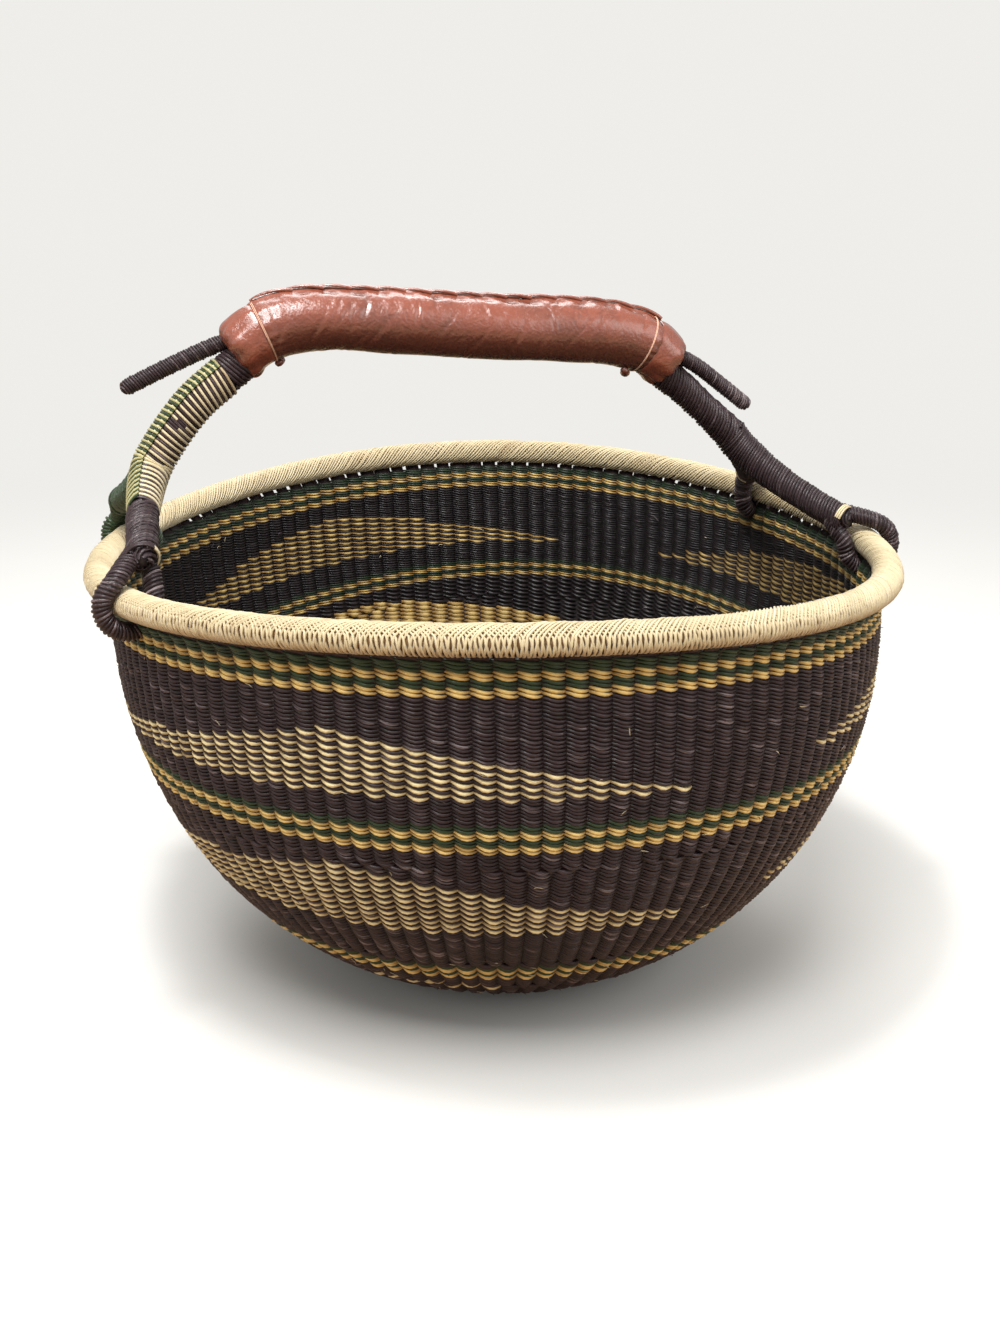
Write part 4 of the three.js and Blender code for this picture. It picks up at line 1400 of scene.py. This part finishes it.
@dataclass
class Winder:
    """Winds straw round the handle's lines."""

    half_depth: float = 0.75
    waver: float = 0.12
    unlike: float = 0.1
    turn_steps: int = 14
    chevron_steps: int = 26
    chevron_half_depth: float = 0.62
    ridge_over: float = 0.16
    ridge_bump: float = 0.9
    ridge_share: float = 0.12
    ring_steps: int = 28
    width_share: float = 0.47
    core_rings: int = 40
    core_sides: int = 12
    core_tone: float = 0.3
    # Painted shade on the bundle under a winding, which shows between the turns.
    core_shade: float = 0.6
    facing_from: float = 0.45
    seed: int = 23
    rng: np.random.Generator = field(init=False)

    def __post_init__(self) -> None:
        """Starts the seeded source of unevenness."""
        self.rng = np.random.default_rng(self.seed)

    def helix(self, piece: Piece, line: Line, radius: Array | float, start: float, end: float, pitch: float,
              starts: int = 8, flat: float = 1.0, radii: tuple[Array, Array] | None = None) -> None:
        """Winds several strands side by side round a line.

        Args:
            piece: The piece that gets them.
            line: The line.
            radius: Outer radius.
            start: Share of the line where the winding starts.
            end: Share where it ends.
            pitch: Distance between neighbouring turns along the line.
            starts: Number of strands wound together.
            flat: Stretch along the line's first axis.
            radii: Shares and radii of a winding that tapers.
        """
        lead = pitch * starts
        turns = (end - start) * line.length / lead
        steps = max(8, int(turns * self.turn_steps))
        offset = np.arange(starts)[:, None] / starts
        turn_share = np.linspace(0, turns, steps)[None]
        share = start + turn_share * lead / line.length + 0 * offset
        turn = FULL_TURN * (turn_share + offset)
        size = np.interp(share, *radii) if radii else np.broadcast_to(radius, share.shape)
        uneven = self.waver * np.sin(turn * 1.7 + offset * 40) + self.unlike * self.rng.normal(0, 1, offset.shape)
        points, out = line.around(share, turn, size - self.half_depth + uneven, flat)
        tone = np.clip(0.5 + 0.16 * self.rng.normal(0, 1, share.shape).cumsum(1) / 4, 0.1, 1)
        piece.strands(points, out, pitch * self.width_share, self.half_depth, tone=tone,
                      start=self.rng.uniform(0, PATTERN_REACH, offset.shape))

    def core(self, piece: Piece, line: Line, radius: Array | float, start: float, end: float, flat: float = 1.0,
             dye: int = 0, radii: tuple[Array, Array] | None = None) -> None:
        """Adds the closed straw bundle under a winding.

        Args:
            piece: The piece that gets it.
            line: The line.
            radius: Its radius.
            start: Share of the line where it starts.
            end: Share where it ends.
            flat: Stretch along the line's first axis.
            dye: Slot number.
            radii: Shares and radii of a bundle that tapers.
        """
        share = np.concatenate([[start], np.linspace(start, end, self.core_rings), [end]])
        size = np.interp(share, *radii) if radii else np.broadcast_to(radius, share.shape)
        size = np.concatenate([[0.01], size[1:-1], [0.01]])
        turn = np.linspace(0, FULL_TURN, self.core_sides, endpoint=False)
        points, _ = line.around(share[:, None] + 0 * turn, turn[None] + 0 * share[:, None], size[:, None] + 0 * turn,
                                flat)
        lay = np.stack(np.broadcast_arrays(share[:, None] * line.length, turn[None] / 7, self.core_tone), -1)
        # Painted shade: the bundle is darkened so the gaps between the turns read dark.
        painted_shade = np.full((1, *points.shape[:2]), self.core_shade)
        piece.add_grid(points[None], lay[None], painted_shade, np.full((1, len(share)), dye))

    def chevrons(self, piece: Piece, line: Line, radii: tuple[float, float], start: float, end: float, pitch: float,
                 ridge: float, rise: float, dyes: tuple[tuple[int, ...], tuple[int, ...]],
                 mark: tuple[float, float] = (0.0, 0.0)) -> None:
        """Lays turns that meet in a ridge down one side of a line.

        Args:
            piece: The piece that gets them.
            line: The line.
            radii: Outer radius at the start and at the end.
            start: Share of the line where they start.
            end: Share where they end.
            pitch: Distance between turns.
            ridge: Angle of the ridge from the line's first axis.
            rise: How far a turn climbs from the far side to the ridge.
            dyes: Slot numbers that follow one another, past the ridge and before it.
            mark: Shares of the line between which the turns are dark before the ridge.
        """
        count = int((end - start) * line.length / pitch)
        turn = np.linspace(0, FULL_TURN, self.chevron_steps)[None] + ridge + np.zeros((count, 1))
        swing = np.abs(turn - ridge - math.pi) / math.pi
        number = np.arange(count)[:, None]
        spread = self.rng.normal(0, 1, (count, 2))
        climb = rise * swing**1.5 - 0.6 * rise
        share = start + (number * pitch + pitch / 2 - climb + 0.12 * spread[:, :1]) / line.length
        share = np.clip(share, start, end)
        past_ridge = turn - ridge < math.pi
        cross = np.where(past_ridge, 0.55, -0.1) * np.clip((swing - 0.88) / 0.12, 0, 1)
        bump = self.ridge_bump * np.exp(-(((1 - swing) / self.ridge_share) ** 2))
        radius = np.interp(share, (start, end), radii)
        over = turn + np.where(past_ridge, -1, 1) * self.ridge_over * np.clip((swing - 0.8) / 0.2, 0, 1)
        proud = np.where(number % 2 == 0, 0.25, -0.3) * np.clip(1.2 - swing, 0, 1)
        points, out = line.around(share, over, radius - 0.6 + bump + cross + proud)
        past, before = (np.array(order)[number % len(order)] for order in dyes)
        marked = (share > mark[0]) & (share < mark[1]) & (swing > 0.62)
        slots = np.where(past_ridge, past, np.where(marked, 2, before))
        tone = np.clip(0.55 + 0.18 * spread[:, 1:2], 0, 1)
        piece.strands(points, out, pitch / 2, self.chevron_half_depth, dye=slots, tone=tone,
                      start=self.rng.uniform(0, PATTERN_REACH, (count, 1)))

    def rings(self, piece: Piece, line: Line, radius: float, middle: float, count: int, pitch: float, width: float,
              lean: float = 0.0, facing: Array | None = None) -> None:
        """Lays a few closed turns side by side, such as a lashing.

        Args:
            piece: The piece that gets them.
            line: The line.
            radius: Outer radius.
            middle: Share of the line at their middle.
            count: Number of turns.
            pitch: Distance between them.
            width: Width of a strand.
            lean: How far a turn leans along the line.
            facing: Direction in which the turns show the first colour; the rest of each shows the second.
        """
        turn = np.linspace(0, FULL_TURN, self.ring_steps, endpoint=False)[None] + np.zeros((count, 1))
        number = np.arange(count)[:, None] - (count - 1) / 2
        share = middle + (number * pitch + lean * np.cos(turn - 0.6)) / line.length
        uneven = self.rng.normal(0, 0.08, (count, 1))
        points, out = line.around(share, turn, radius - width / 2 + uneven + 0 * turn)
        dye = 0 if facing is None else (out @ facing < self.facing_from).astype(int)
        piece.strands(points, out, width / 2, width / 2, closed=True, dye=dye, tone=0.6, start=uneven * 900)


@dataclass
class HandleArms:
    """Arms, stick ends, forks, legs, loops and lashings of the handle."""

    shape: HandleShape
    winder: Winder
    finishes: Finishes
    left_radius: float = 10.2
    right_radius: float = 7.2
    collar_radius: float = 9.8
    leg_radius: float = 7.2
    stub_radius: float = 5.1
    collar_share: float = 0.215
    chevron_ridge: float = 3.9
    chevron_pitch: float = 1.42
    fork_pitch: float = 1.9
    chevron_dyes: tuple[Dye, ...] = (Dye.NATURAL, Dye.OLIVE, Dye.DARK, Dye.GREEN)
    chevron_order: tuple[tuple[int, ...], tuple[int, ...]] = ((1, 3), (0, 2))
    chevron_rise: float = 3.6
    arm_end: float = 1.02
    fork_rise: float = 3.0
    dark_mark: tuple[float, float] = (0.67, 0.715)
    under: float = 0.9
    left_under: float = 1.0
    fork_swell: float = 2.6
    leg_end: float = 0.995
    leg_tip: float = 2.6
    loop_flat: float = 1.25
    loop_straw: float = 0.4
    loop_under: float = 0.3
    stub_longer: dict[str, float] = field(default_factory=lambda: {"left": 0.13, "right": 0.02})
    stub_drop: float = 0.008

    def build(self) -> None:
        """Winds every part."""
        self.build_left_arm()
        self.build_right_arm()
        aside = self.shape.spacing / 2
        self.build_stub("left", self.shape.left_stub, aside)
        self.build_stub("right", self.shape.right_stub, -aside)
        for leg in self.shape.legs:
            self.build_leg(leg)

    def build_left_arm(self) -> None:
        """Makes the collar and the patterned winding of the left arm."""
        line = self.shape.line(self.shape.left_arm)
        collar = Piece("left_collar_straw", [Dye.DARK])
        self.winder.core(collar, line, self.collar_radius - self.left_under, 0.06, self.collar_share)
        self.winder.helix(collar, line, self.collar_radius, 0.08, self.collar_share, pitch=1.9, starts=5)
        collar.build(self.finishes, "dark_straw", "left_arm_collar")
        arm = Piece("left_arm_chevrons", self.chevron_dyes)
        self.winder.core(arm, line, self.left_radius - self.left_under, self.collar_share, self.arm_end, dye=2)
        self.winder.chevrons(arm, line, (self.left_radius, self.left_radius), self.collar_share, self.arm_end,
                             self.chevron_pitch, self.chevron_ridge, self.chevron_rise, self.chevron_order,
                             self.dark_mark)
        arm.build(self.finishes, "yellow_straw", "left_arm_winding", "left_arm_core")

    def build_right_arm(self) -> None:
        """Makes the dark winding of the right arm."""
        line = self.shape.line(self.shape.right_arm)
        arm = Piece("right_arm_straw", [Dye.DARK])
        radii = (np.array([0, 0.3, 0.6, 0.85, self.arm_end]), self.right_radius + np.array([1.9, 1.2, 0.9, 1.5, 1.9]))
        self.winder.core(arm, line, 1.0, 0.02, self.arm_end, radii=(radii[0], radii[1] - self.under))
        self.winder.helix(arm, line, 1.0, 0.04, 1.0, pitch=2.0, starts=10, radii=radii)
        arm.build(self.finishes, "dark_straw", "right_arm_winding")

    def build_stub(self, side: str, shares: Pairs, aside: float) -> None:
        """Winds one stick end and rounds its tip.

        Args:
            side: Left or right.
            shares: Shares of the stub's middle line.
            aside: How far it lies to the back.
        """
        (last_across, last_rise), end = shares[-2], shares[-1]
        longer = self.stub_longer[side]
        tip = (end[0] + longer * (end[0] - last_across), end[1] + longer * (end[1] - last_rise))
        line = self.shape.line(tuple((across, rise - self.stub_drop) for across, rise in (*shares[:-1], tip)), aside)
        piece = Piece(f"{side}_stick_end_straw", [Dye.DARK])
        sizes = np.array([0.84, 0.82, 0.82, 0.74, 0.45, 0.1])
        radii = (np.array([0, 0.9, 0.94, 0.975, 0.995, 1.0]), self.stub_radius * sizes)
        core = (radii[0], np.maximum(radii[1] - 0.7, 0.02))
        self.winder.core(piece, line, 1.0, 0.04, 0.998, radii=core)
        self.winder.helix(piece, line, 1.0, 0.06, 0.998, pitch=1.35, starts=4, radii=radii)
        piece.build(self.finishes, "dark_straw", f"{side}_stub_winding")

    def build_leg(self, leg: Leg) -> None:
        """Winds one leg from its fork to the strand that goes round the rim.

        Args:
            leg: The leg.
        """
        arm_radius = self.left_radius if leg.name.startswith("left") else self.right_radius + self.fork_swell
        middle = self.shape.leg_line(leg)
        over = self.leg_radius + np.array([leg.swell, 0.6, 0.2, -0.9])
        radii = (np.array([0, 0.25, 0.5, 0.86, 0.95, 1.0]),
                 np.array([arm_radius - leg.fork_less, *over, self.leg_tip]))
        piece = Piece(f"{leg.name}_leg_straw", [leg.dye])
        self.winder.core(piece, middle, 1.0, 0.0, self.leg_end, radii=(radii[0], radii[1] - self.under))
        self.winder.helix(piece, middle, 1.0, leg.start, self.leg_end, leg.pitch, starts=7, radii=radii)
        nodes = [f"{leg.name}_leg_wrap"]
        if leg.name == "right_front":
            nodes.append("right_fork_wrap")
        piece.build(self.finishes, leg.dye.value, *nodes)
        if leg.name == "left_front":
            fork = Piece("left_fork_chevrons", self.chevron_dyes)
            self.winder.chevrons(fork, middle, (arm_radius, self.leg_radius + 0.5), 0.0, leg.start,
                                 self.fork_pitch, self.chevron_ridge, self.fork_rise, self.chevron_order)
            fork.build(self.finishes, "yellow_straw", "left_fork_wrap")
        self.build_loop(leg, middle)

    def build_loop(self, leg: Leg, middle: Line) -> None:
        """Winds the strand that goes round the rim and lashes it where it parts from the leg.

        Args:
            leg: The leg.
            middle: The leg's middle line.
        """
        loop = self.shape.loop_line(leg)
        strand = Piece(f"{leg.name}_loop_straw", [leg.dye])
        self.winder.core(strand, loop, self.shape.loop_radius - self.loop_under, 0.0, 1.0, flat=self.loop_flat)
        self.winder.helix(strand, loop, self.shape.loop_radius + self.loop_straw, 0.02, 0.98, pitch=1.8, starts=4,
                          flat=self.loop_flat)
        strand.build(self.finishes, leg.dye.value, f"{leg.name}_loop_wrap")

        lashing = Piece(f"{leg.name}_lashing_straw", [Dye.NATURAL, leg.dye])
        self.winder.rings(lashing, middle, self.leg_radius + 0.7, leg.lashing, count=3, pitch=1.3, width=1.1,
                          lean=-1.5, facing=leg.facing())
        lashing.build(self.finishes, "natural_straw", f"{leg.name}_lashing")


@dataclass
class Grip:
    """The leather grip: wrinkled sleeve, end covers, light threads, lace ridge and knots."""

    shape: HandleShape
    winder: Winder
    finishes: Finishes
    radius: float = 15.0
    radius_shares: Pairs = (
        (0, 0.95), (0.06, 0.99), (0.3, 0.98), (0.6, 1.03), (0.85, 1.02), (0.94, 0.99), (1, 0.93))
    left_end: float = 0.078
    right_end: float = 0.925
    lips: dict[str, float] = field(default_factory=lambda: {"left": 3.2, "right": 1.2})
    thread_steps: dict[str, float] = field(default_factory=lambda: {"left": 0.0, "right": -0.012})
    knots: Pairs = ((0.088, 0.2), (0.885, -0.25))
    crest: float = math.pi / 2
    stitch: float = 13.0
    creases: int = 130
    crease_tilt: float = 0.35
    crease_bow: float = 1.2
    lip_share: float = 0.6
    lip_shift: float = 1.9
    crease_width: tuple[float, float] = (0.8, 1.9)
    crease_reach: tuple[float, float] = (0.25, 0.8)
    crease_depth: tuple[float, float] = (0.08, 0.3)
    waves: int = 7
    wave_reach: tuple[float, float] = (4.5, 16.0)
    wave_height: float = 0.12
    rings: int = 460
    sides: int = 96
    cover_rings: int = 60
    cover_sides: int = 84
    # Painted shade over the sleeve's underside, and the most painted shade the sleeve takes anywhere.
    underside_shade: float = 0.7
    most_shade: float = 0.55
    fill: float = 0.95
    seed: int = 41

    @cached_property
    def line(self) -> Line:
        """The grip's middle line."""
        return self.shape.line(self.shape.grip)

    def radius_at(self, share: Array) -> Array:
        """Radius of the leather at shares of the grip's length."""
        places, sizes = zip(*self.radius_shares)
        return self.radius * np.interp(share, places, sizes)

    def sheet(self, piece: Piece, share: Array, turn: Array, radius: Array, shade: Array) -> None:
        """Adds a leather surface round the grip's line.

        Args:
            piece: The piece that gets it.
            share: Shares of its length, one for each ring.
            turn: Angles, one for each side.
            radius: Radius for each ring and side.
            shade: Stain for each ring and side.
        """
        points, _ = self.line.around(share[:, None] + 0 * turn, turn[None] + 0 * share[:, None], radius)
        lay = np.stack(np.broadcast_arrays(share[:, None] * self.line.length, turn[None], 0.5), -1)
        piece.add_grid(points[None], lay[None], shade[None], np.zeros((1, len(share)), int))

    def wrinkles(self, share: Array, turn: Array, length: float) -> Array:
        """Depth of the creases over the sleeve.

        Args:
            share: Shares of the grip's length, one for each ring.
            turn: Angles, one for each side.
            length: Length of the grip.

        Returns:
            Heights in mm for each ring and side.
        """
        rng = np.random.default_rng(self.seed)
        along, around = np.meshgrid(share * length, turn, indexing="ij")
        height = np.zeros_like(along)
        for _ in range(self.creases):
            place = rng.uniform(0, length)
            angle = rng.uniform(0, FULL_TURN)
            tilt = rng.normal(0, self.crease_tilt)
            wide = rng.uniform(*self.crease_width)
            reach = rng.uniform(*self.crease_reach)
            swing = (around - angle + math.pi) % FULL_TURN - math.pi
            off = along - place - tilt * swing * self.radius - self.crease_bow * np.sin(swing * 3 + angle)
            deep = rng.uniform(*self.crease_depth)
            height += -deep * np.exp(-((off / wide) ** 2) - (swing / reach) ** 2)
            beside = (off - self.lip_shift * wide) / wide
            height += self.lip_share * deep * np.exp(-(beside**2) - (swing / reach) ** 2)
        for wave in range(self.waves):
            run = along / rng.uniform(*self.wave_reach) + rng.integers(-2, 3) * around + rng.uniform(0, 6) + wave
            height += self.wave_height * np.sin(run)
        return height

    def build(self) -> None:
        """Makes every part of the grip."""
        self.build_sleeve()
        self.build_cover("left", self.left_end, 0.0)
        self.build_cover("right", self.right_end, 1.0)
        self.build_threads()
        self.build_lace()
        self.build_knots()

    def from_crest(self, turn: Array) -> Array:
        """Angles from the grip's top, which lies a quarter turn from the line's first axis."""
        return (turn - self.crest + math.pi) % FULL_TURN - math.pi

    def build_sleeve(self) -> None:
        """Makes the wrinkled sleeve over its padding."""
        share = np.linspace(self.left_end - 0.004, self.right_end + 0.004, self.rings)
        turn = np.linspace(0, FULL_TURN, self.sides, endpoint=False)
        height = self.wrinkles(share, turn, self.line.length)
        from_crest = self.from_crest(turn)
        seam = from_crest[None] * self.radius
        pull = 1 + np.cos(share[:, None] * self.line.length / self.stitch * FULL_TURN)
        hollows = np.exp(-(((np.abs(seam) - 5) / 2.2) ** 2))
        height = height + 0.9 * np.exp(-((seam / 2.2) ** 2)) - 0.35 * hollows * pull
        ends = np.minimum(share - share[0], share[-1] - share)[:, None] * self.line.length
        gather = 0.3 * np.exp(-ends / 7)
        pleats = np.sin(from_crest * 17 + 2 * np.sin(from_crest * 3))
        height = height + gather * pleats - 0.9 * np.exp(-ends / 1.4)
        radius = self.radius_at(share)[:, None] + height
        # Painted shade: darker in the creases, next to the sleeve's ends and over the underside.
        shade = (np.clip(-height * 0.55, 0, 0.5) + 0.12 * np.exp(-ends / 2.2)
                 + self.underside_shade * np.clip(0.45 - np.cos(from_crest), 0, 1) ** 1.25)
        shade = np.clip(shade, 0, self.most_shade)
        piece = Piece("grip_leather_sleeve", [Dye.LEATHER])
        self.sheet(piece, share, turn, radius, shade)
        sleeve = piece.build(self.finishes, "leather", "grip_leather", "grip_padding")

    def build_cover(self, side: str, inner: float, outer: float) -> None:
        """Makes one rounded end cover with its pleats.

        Args:
            side: Left or right.
            inner: Share of the grip where the cover starts.
            outer: Share where it ends.
        """
        reach = np.linspace(0, 1, self.cover_rings)
        bend = np.clip((reach - 0.55) / 0.45, 0, 1)
        share = inner + (outer - inner) * reach
        turn = np.linspace(0, FULL_TURN, self.cover_sides, endpoint=False)
        from_crest = self.from_crest(turn)
        profile = np.sqrt(np.clip(1 - (bend * 0.86) ** 3, 0, 1))
        radius = self.radius_at(share)[:, None] * profile[:, None] + 0 * turn
        pleat = 0.5 * np.sin(from_crest * 11 + 2 * np.sin(from_crest * 2)) * (0.35 + bend[:, None])
        below = np.clip(-np.cos(from_crest), 0, 1) ** 2
        lumps = 0.3 * np.sin(from_crest * 3 + reach[:, None] * 5) + self.lips[side] * below * bend[:, None]
        radius = radius + pleat + lumps - 0.9 * np.exp(-reach[:, None] * 18)
        share = np.concatenate([share, [outer, outer]])
        radius = np.vstack([radius, radius[-1:] * 0.6, radius[-1:] * 0.02])
        # Painted shade: darker at the cover's inner edge, towards its rounded end and tip, and in the pleats' hollows.
        shade = np.clip(np.concatenate([0.12 * np.exp(-reach * 10) + 0.15 * bend, [0.3, 0.4]])[:, None]
                        - 0.3 * np.vstack([pleat, pleat[-1:], pleat[-1:]]), 0, 0.6)
        piece = Piece(f"{side}_leather_cover", [Dye.LEATHER])
        self.sheet(piece, share, turn, radius, shade)
        cover = piece.build(self.finishes, "leather", f"{side}_end_cover")

    def build_threads(self) -> None:
        """Makes the light thread round each end of the sleeve."""
        for side, share in (("left", self.left_end), ("right", self.right_end)):
            piece = Piece(f"{side}_grip_thread", [Dye.THREAD])
            radius = float(self.radius_at(np.array(share))) + 0.5
            self.winder.rings(piece, self.line, radius, share + self.thread_steps[side], count=2, pitch=0.45,
                              width=0.42, lean=0.8)
            piece.build(self.finishes, "thread", f"{side}_end_thread")

    def build_lace(self) -> None:
        """Makes the slanted stitches of the lace along the grip's top."""
        piece = Piece("grip_lace_stitches", [Dye.LEATHER])
        reach = (self.right_end - self.left_end) * self.line.length - 4
        count = round(reach / self.stitch)
        step = reach / count
        rng = np.random.default_rng(self.seed + 1)
        share_of = np.linspace(0, 1, 12)[None]
        number = np.arange(count)[:, None]
        spread = rng.normal(0, 1, (count, 2))
        along = 2 + number * step + (share_of * 1.25 - 0.1) * step
        share = self.left_end + along / self.line.length
        across = -2.2 + 4.0 * share_of + 0.25 * spread[:, :1]
        rise = 1.15 * np.sin(np.pi * np.clip(share_of, 0, 1)) ** 0.7
        turn = self.crest + across / self.radius
        points, out = self.line.around(share, turn, self.radius_at(share) + 0.7 + rise)
        width = 1.25 * (0.5 + 0.45 * np.sin(np.pi * share_of)) * (1 + 0.06 * spread[:, 1:2])
        piece.strands(points, out, width, half_depth=0.95, sides=8, tone=0.6)
        ridge = np.linspace(self.left_end + 0.006, self.right_end - 0.006, 150)[None]
        points, out = self.line.around(ridge, self.crest + 0 * ridge, self.radius_at(ridge) + 0.9)
        # The ridge under the stitches takes painted shade, so it reads as the shade beneath them.
        piece.strands(points, out, half_width=1.3, half_depth=0.7, sides=8, shade=0.75)
        piece.build(self.finishes, "leather", "grip_lacing")

    def build_knots(self) -> None:
        """Makes the knots under both ends of the grip."""
        knots = Piece("grip_knots", [Dye.LEATHER])
        for share, lean in self.knots:
            place = np.linspace(-1, 1, 11)[None]
            path_share = share + place * 3.4 / self.line.length
            turn = -self.crest + lean + 0.12 * np.sin(place * 3)
            radius = self.radius_at(path_share) + 1.4 + 0.7 * np.cos(place * 1.4)
            points, out = self.line.around(path_share, turn, radius)
            size = 2.4 * np.sqrt(np.clip(1.02 - place**2, 0.001, 1)) * (1 + 0.12 * np.sin(place * 7))
            # The knots under the grip take a little painted shade.
            knots.strands(points, out, size, size * 0.9, sides=10, shade=0.25)
        knots.build(self.finishes, "leather")


@dataclass(frozen=True)
class Lamp:
    """One large soft lamp: its place and what it points at in metres, its width in metres and power in watts."""

    name: str
    place: Place
    target: Place
    size: float
    power: float


@dataclass
class Studio:
    """Floor, backdrop, lamps and the camera at the photograph's angle."""

    lens: float = 41.86
    place: Place = (-227.2, -743.1, 399.7)
    heading: float = 73.0
    pitch: float = 17.66
    sensor: float = 36.0
    backdrop: Colour = (0.86, 0.85, 0.82)
    floor: Colour = (0.78, 0.77, 0.74)
    floor_half_width: float = 6.0
    floor_cells: int = 24
    floor_height: float = -0.0004
    air: Colour = (1.0, 0.98, 0.95)
    air_strength: float = 0.49
    lamps: tuple[Lamp, ...] = (
        Lamp("key", (-0.5, -0.9, 1.9), (0.0, 0.0, 0.15), 0.9, 31.0),
        Lamp("fill", (1.5, -1.2, 1.2), (0.0, 0.0, 0.1), 1.4, 13.0),
        Lamp("gleam", (-0.35, -0.3, 1.7), (-0.05, 0.0, 0.33), 0.2, 13.0),
        Lamp("left", (-1.6, -0.5, 0.7), (0.0, 0.0, 0.12), 0.9, 2.7),
        Lamp("back", (0.3, 1.5, 1.7), (0.0, 0.0, 0.2), 1.2, 18.0))

    def build(self) -> None:
        """Sets the stage, the lamps, the camera and the view."""
        self.build_floor()
        self.build_world()
        for lamp in self.lamps:
            self.hang(lamp)
        self.build_camera()
        bpy.context.scene.view_settings.view_transform = "Standard"

    def build_floor(self) -> None:
        """Makes the plain pale floor."""
        cells = self.floor_cells
        grid = np.linspace(-self.floor_half_width, self.floor_half_width, cells + 1)
        across, deep = np.meshgrid(grid, grid, indexing="ij")
        points = np.stack([across, deep, np.full_like(across, self.floor_height)], -1).reshape(-1, 3)
        place = np.arange((cells + 1) ** 2).reshape(cells + 1, cells + 1)
        faces = np.stack([place[:-1, :-1], place[1:, :-1], place[1:, 1:], place[:-1, 1:]], -1).reshape(-1, 4)
        mesh = bpy.data.meshes.new("pale_floor")
        mesh.from_pydata(points.tolist(), [], faces.tolist())
        mesh.materials.append(PaintFinish("pale_floor_paint", self.floor, self.backdrop).build())
        floor = bpy.data.objects.new("pale_floor", mesh)
        bpy.context.scene.collection.objects.link(floor)

    def build_world(self) -> None:
        """Makes the soft even light and the pale background that the camera sees."""
        world = bpy.data.worlds.new("soft_room")
        bpy.context.scene.world = world
        world.use_nodes = True
        nodes, links = world.node_tree.nodes, world.node_tree.links
        light = nodes["Background"]
        light.inputs["Color"].default_value = (*self.air, 1.0)
        light.inputs["Strength"].default_value = self.air_strength
        seen = nodes.new("ShaderNodeBackground")
        seen.inputs["Color"].default_value = (*self.backdrop, 1.0)
        path = nodes.new("ShaderNodeLightPath")
        mixed = nodes.new("ShaderNodeMixShader")
        links.new(path.outputs["Is Camera Ray"], mixed.inputs[0])
        links.new(light.outputs[0], mixed.inputs[1])
        links.new(seen.outputs[0], mixed.inputs[2])
        links.new(mixed.outputs[0], nodes["World Output"].inputs["Surface"])

    def hang(self, lamp: Lamp) -> None:
        """Hangs one lamp.

        Args:
            lamp: The lamp.
        """
        data = bpy.data.lights.new(lamp.name, "AREA")
        data.size = lamp.size
        data.energy = lamp.power
        made = bpy.data.objects.new(lamp.name, data)
        run = np.array(lamp.target) - np.array(lamp.place)
        run /= np.linalg.norm(run)
        right = np.cross(run, [0.0, 0.0, 1.0])
        right /= np.linalg.norm(right)
        self.point(made, right, run, np.array(lamp.place))

    def point(self, made: bpy.types.Object, right: Array, run: Array, place: Array) -> None:
        """Turns a lamp or camera to look along a direction, and adds it to the scene.

        Args:
            made: The object.
            right: Its right-hand direction.
            run: The direction it looks along.
            place: Its place in metres.
        """
        turn = np.eye(4)
        turn[:3] = np.stack([right, np.cross(right, run), -run, place], -1)
        made.matrix_world = Matrix(turn.tolist())
        bpy.context.scene.collection.objects.link(made)

    def build_camera(self) -> None:
        """Makes the scene's camera."""
        data = bpy.data.cameras.new("photograph")
        data.lens = self.lens
        data.sensor_width = self.sensor
        data.dof.use_dof = False
        made = bpy.data.objects.new("photograph", data)
        heading, pitch = math.radians(self.heading), math.radians(self.pitch)
        run = np.array([math.cos(heading) * math.cos(pitch), math.sin(heading) * math.cos(pitch), -math.sin(pitch)])
        right = np.array([math.sin(heading), -math.cos(heading), 0.0])
        self.point(made, right, run, np.array(self.place) * MM)
        bpy.context.scene.camera = made


def dress_sticks(finishes: Finishes) -> None:
    """Gives the bare sticks, which stay as the CAD has them, their wood.

    Args:
        finishes: Where the material comes from.
    """
    for name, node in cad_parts.items():
        if name.endswith("_stick"):
            node.data.materials.clear()
            node.data.materials.append(finishes[Dye.WOOD])
            LOG.info("%s: bare wood", name)


def main() -> None:
    """Builds the basket's sub-assemblies in order, then the studio."""
    logging.basicConfig(level=logging.INFO, format="%(name)s: %(message)s")
    Studio().build()
    finishes = Finishes()
    bowl = BowlShape()
    Weave(bowl, finishes).build()
    Rim(bowl, finishes).build()
    shape = HandleShape(bowl)
    winder = Winder()
    HandleArms(shape, winder, finishes).build()
    Grip(shape, winder, finishes).build()
    dress_sticks(finishes)
    bpy.context.view_layer.update()


if __name__ == "__main__":
    main()
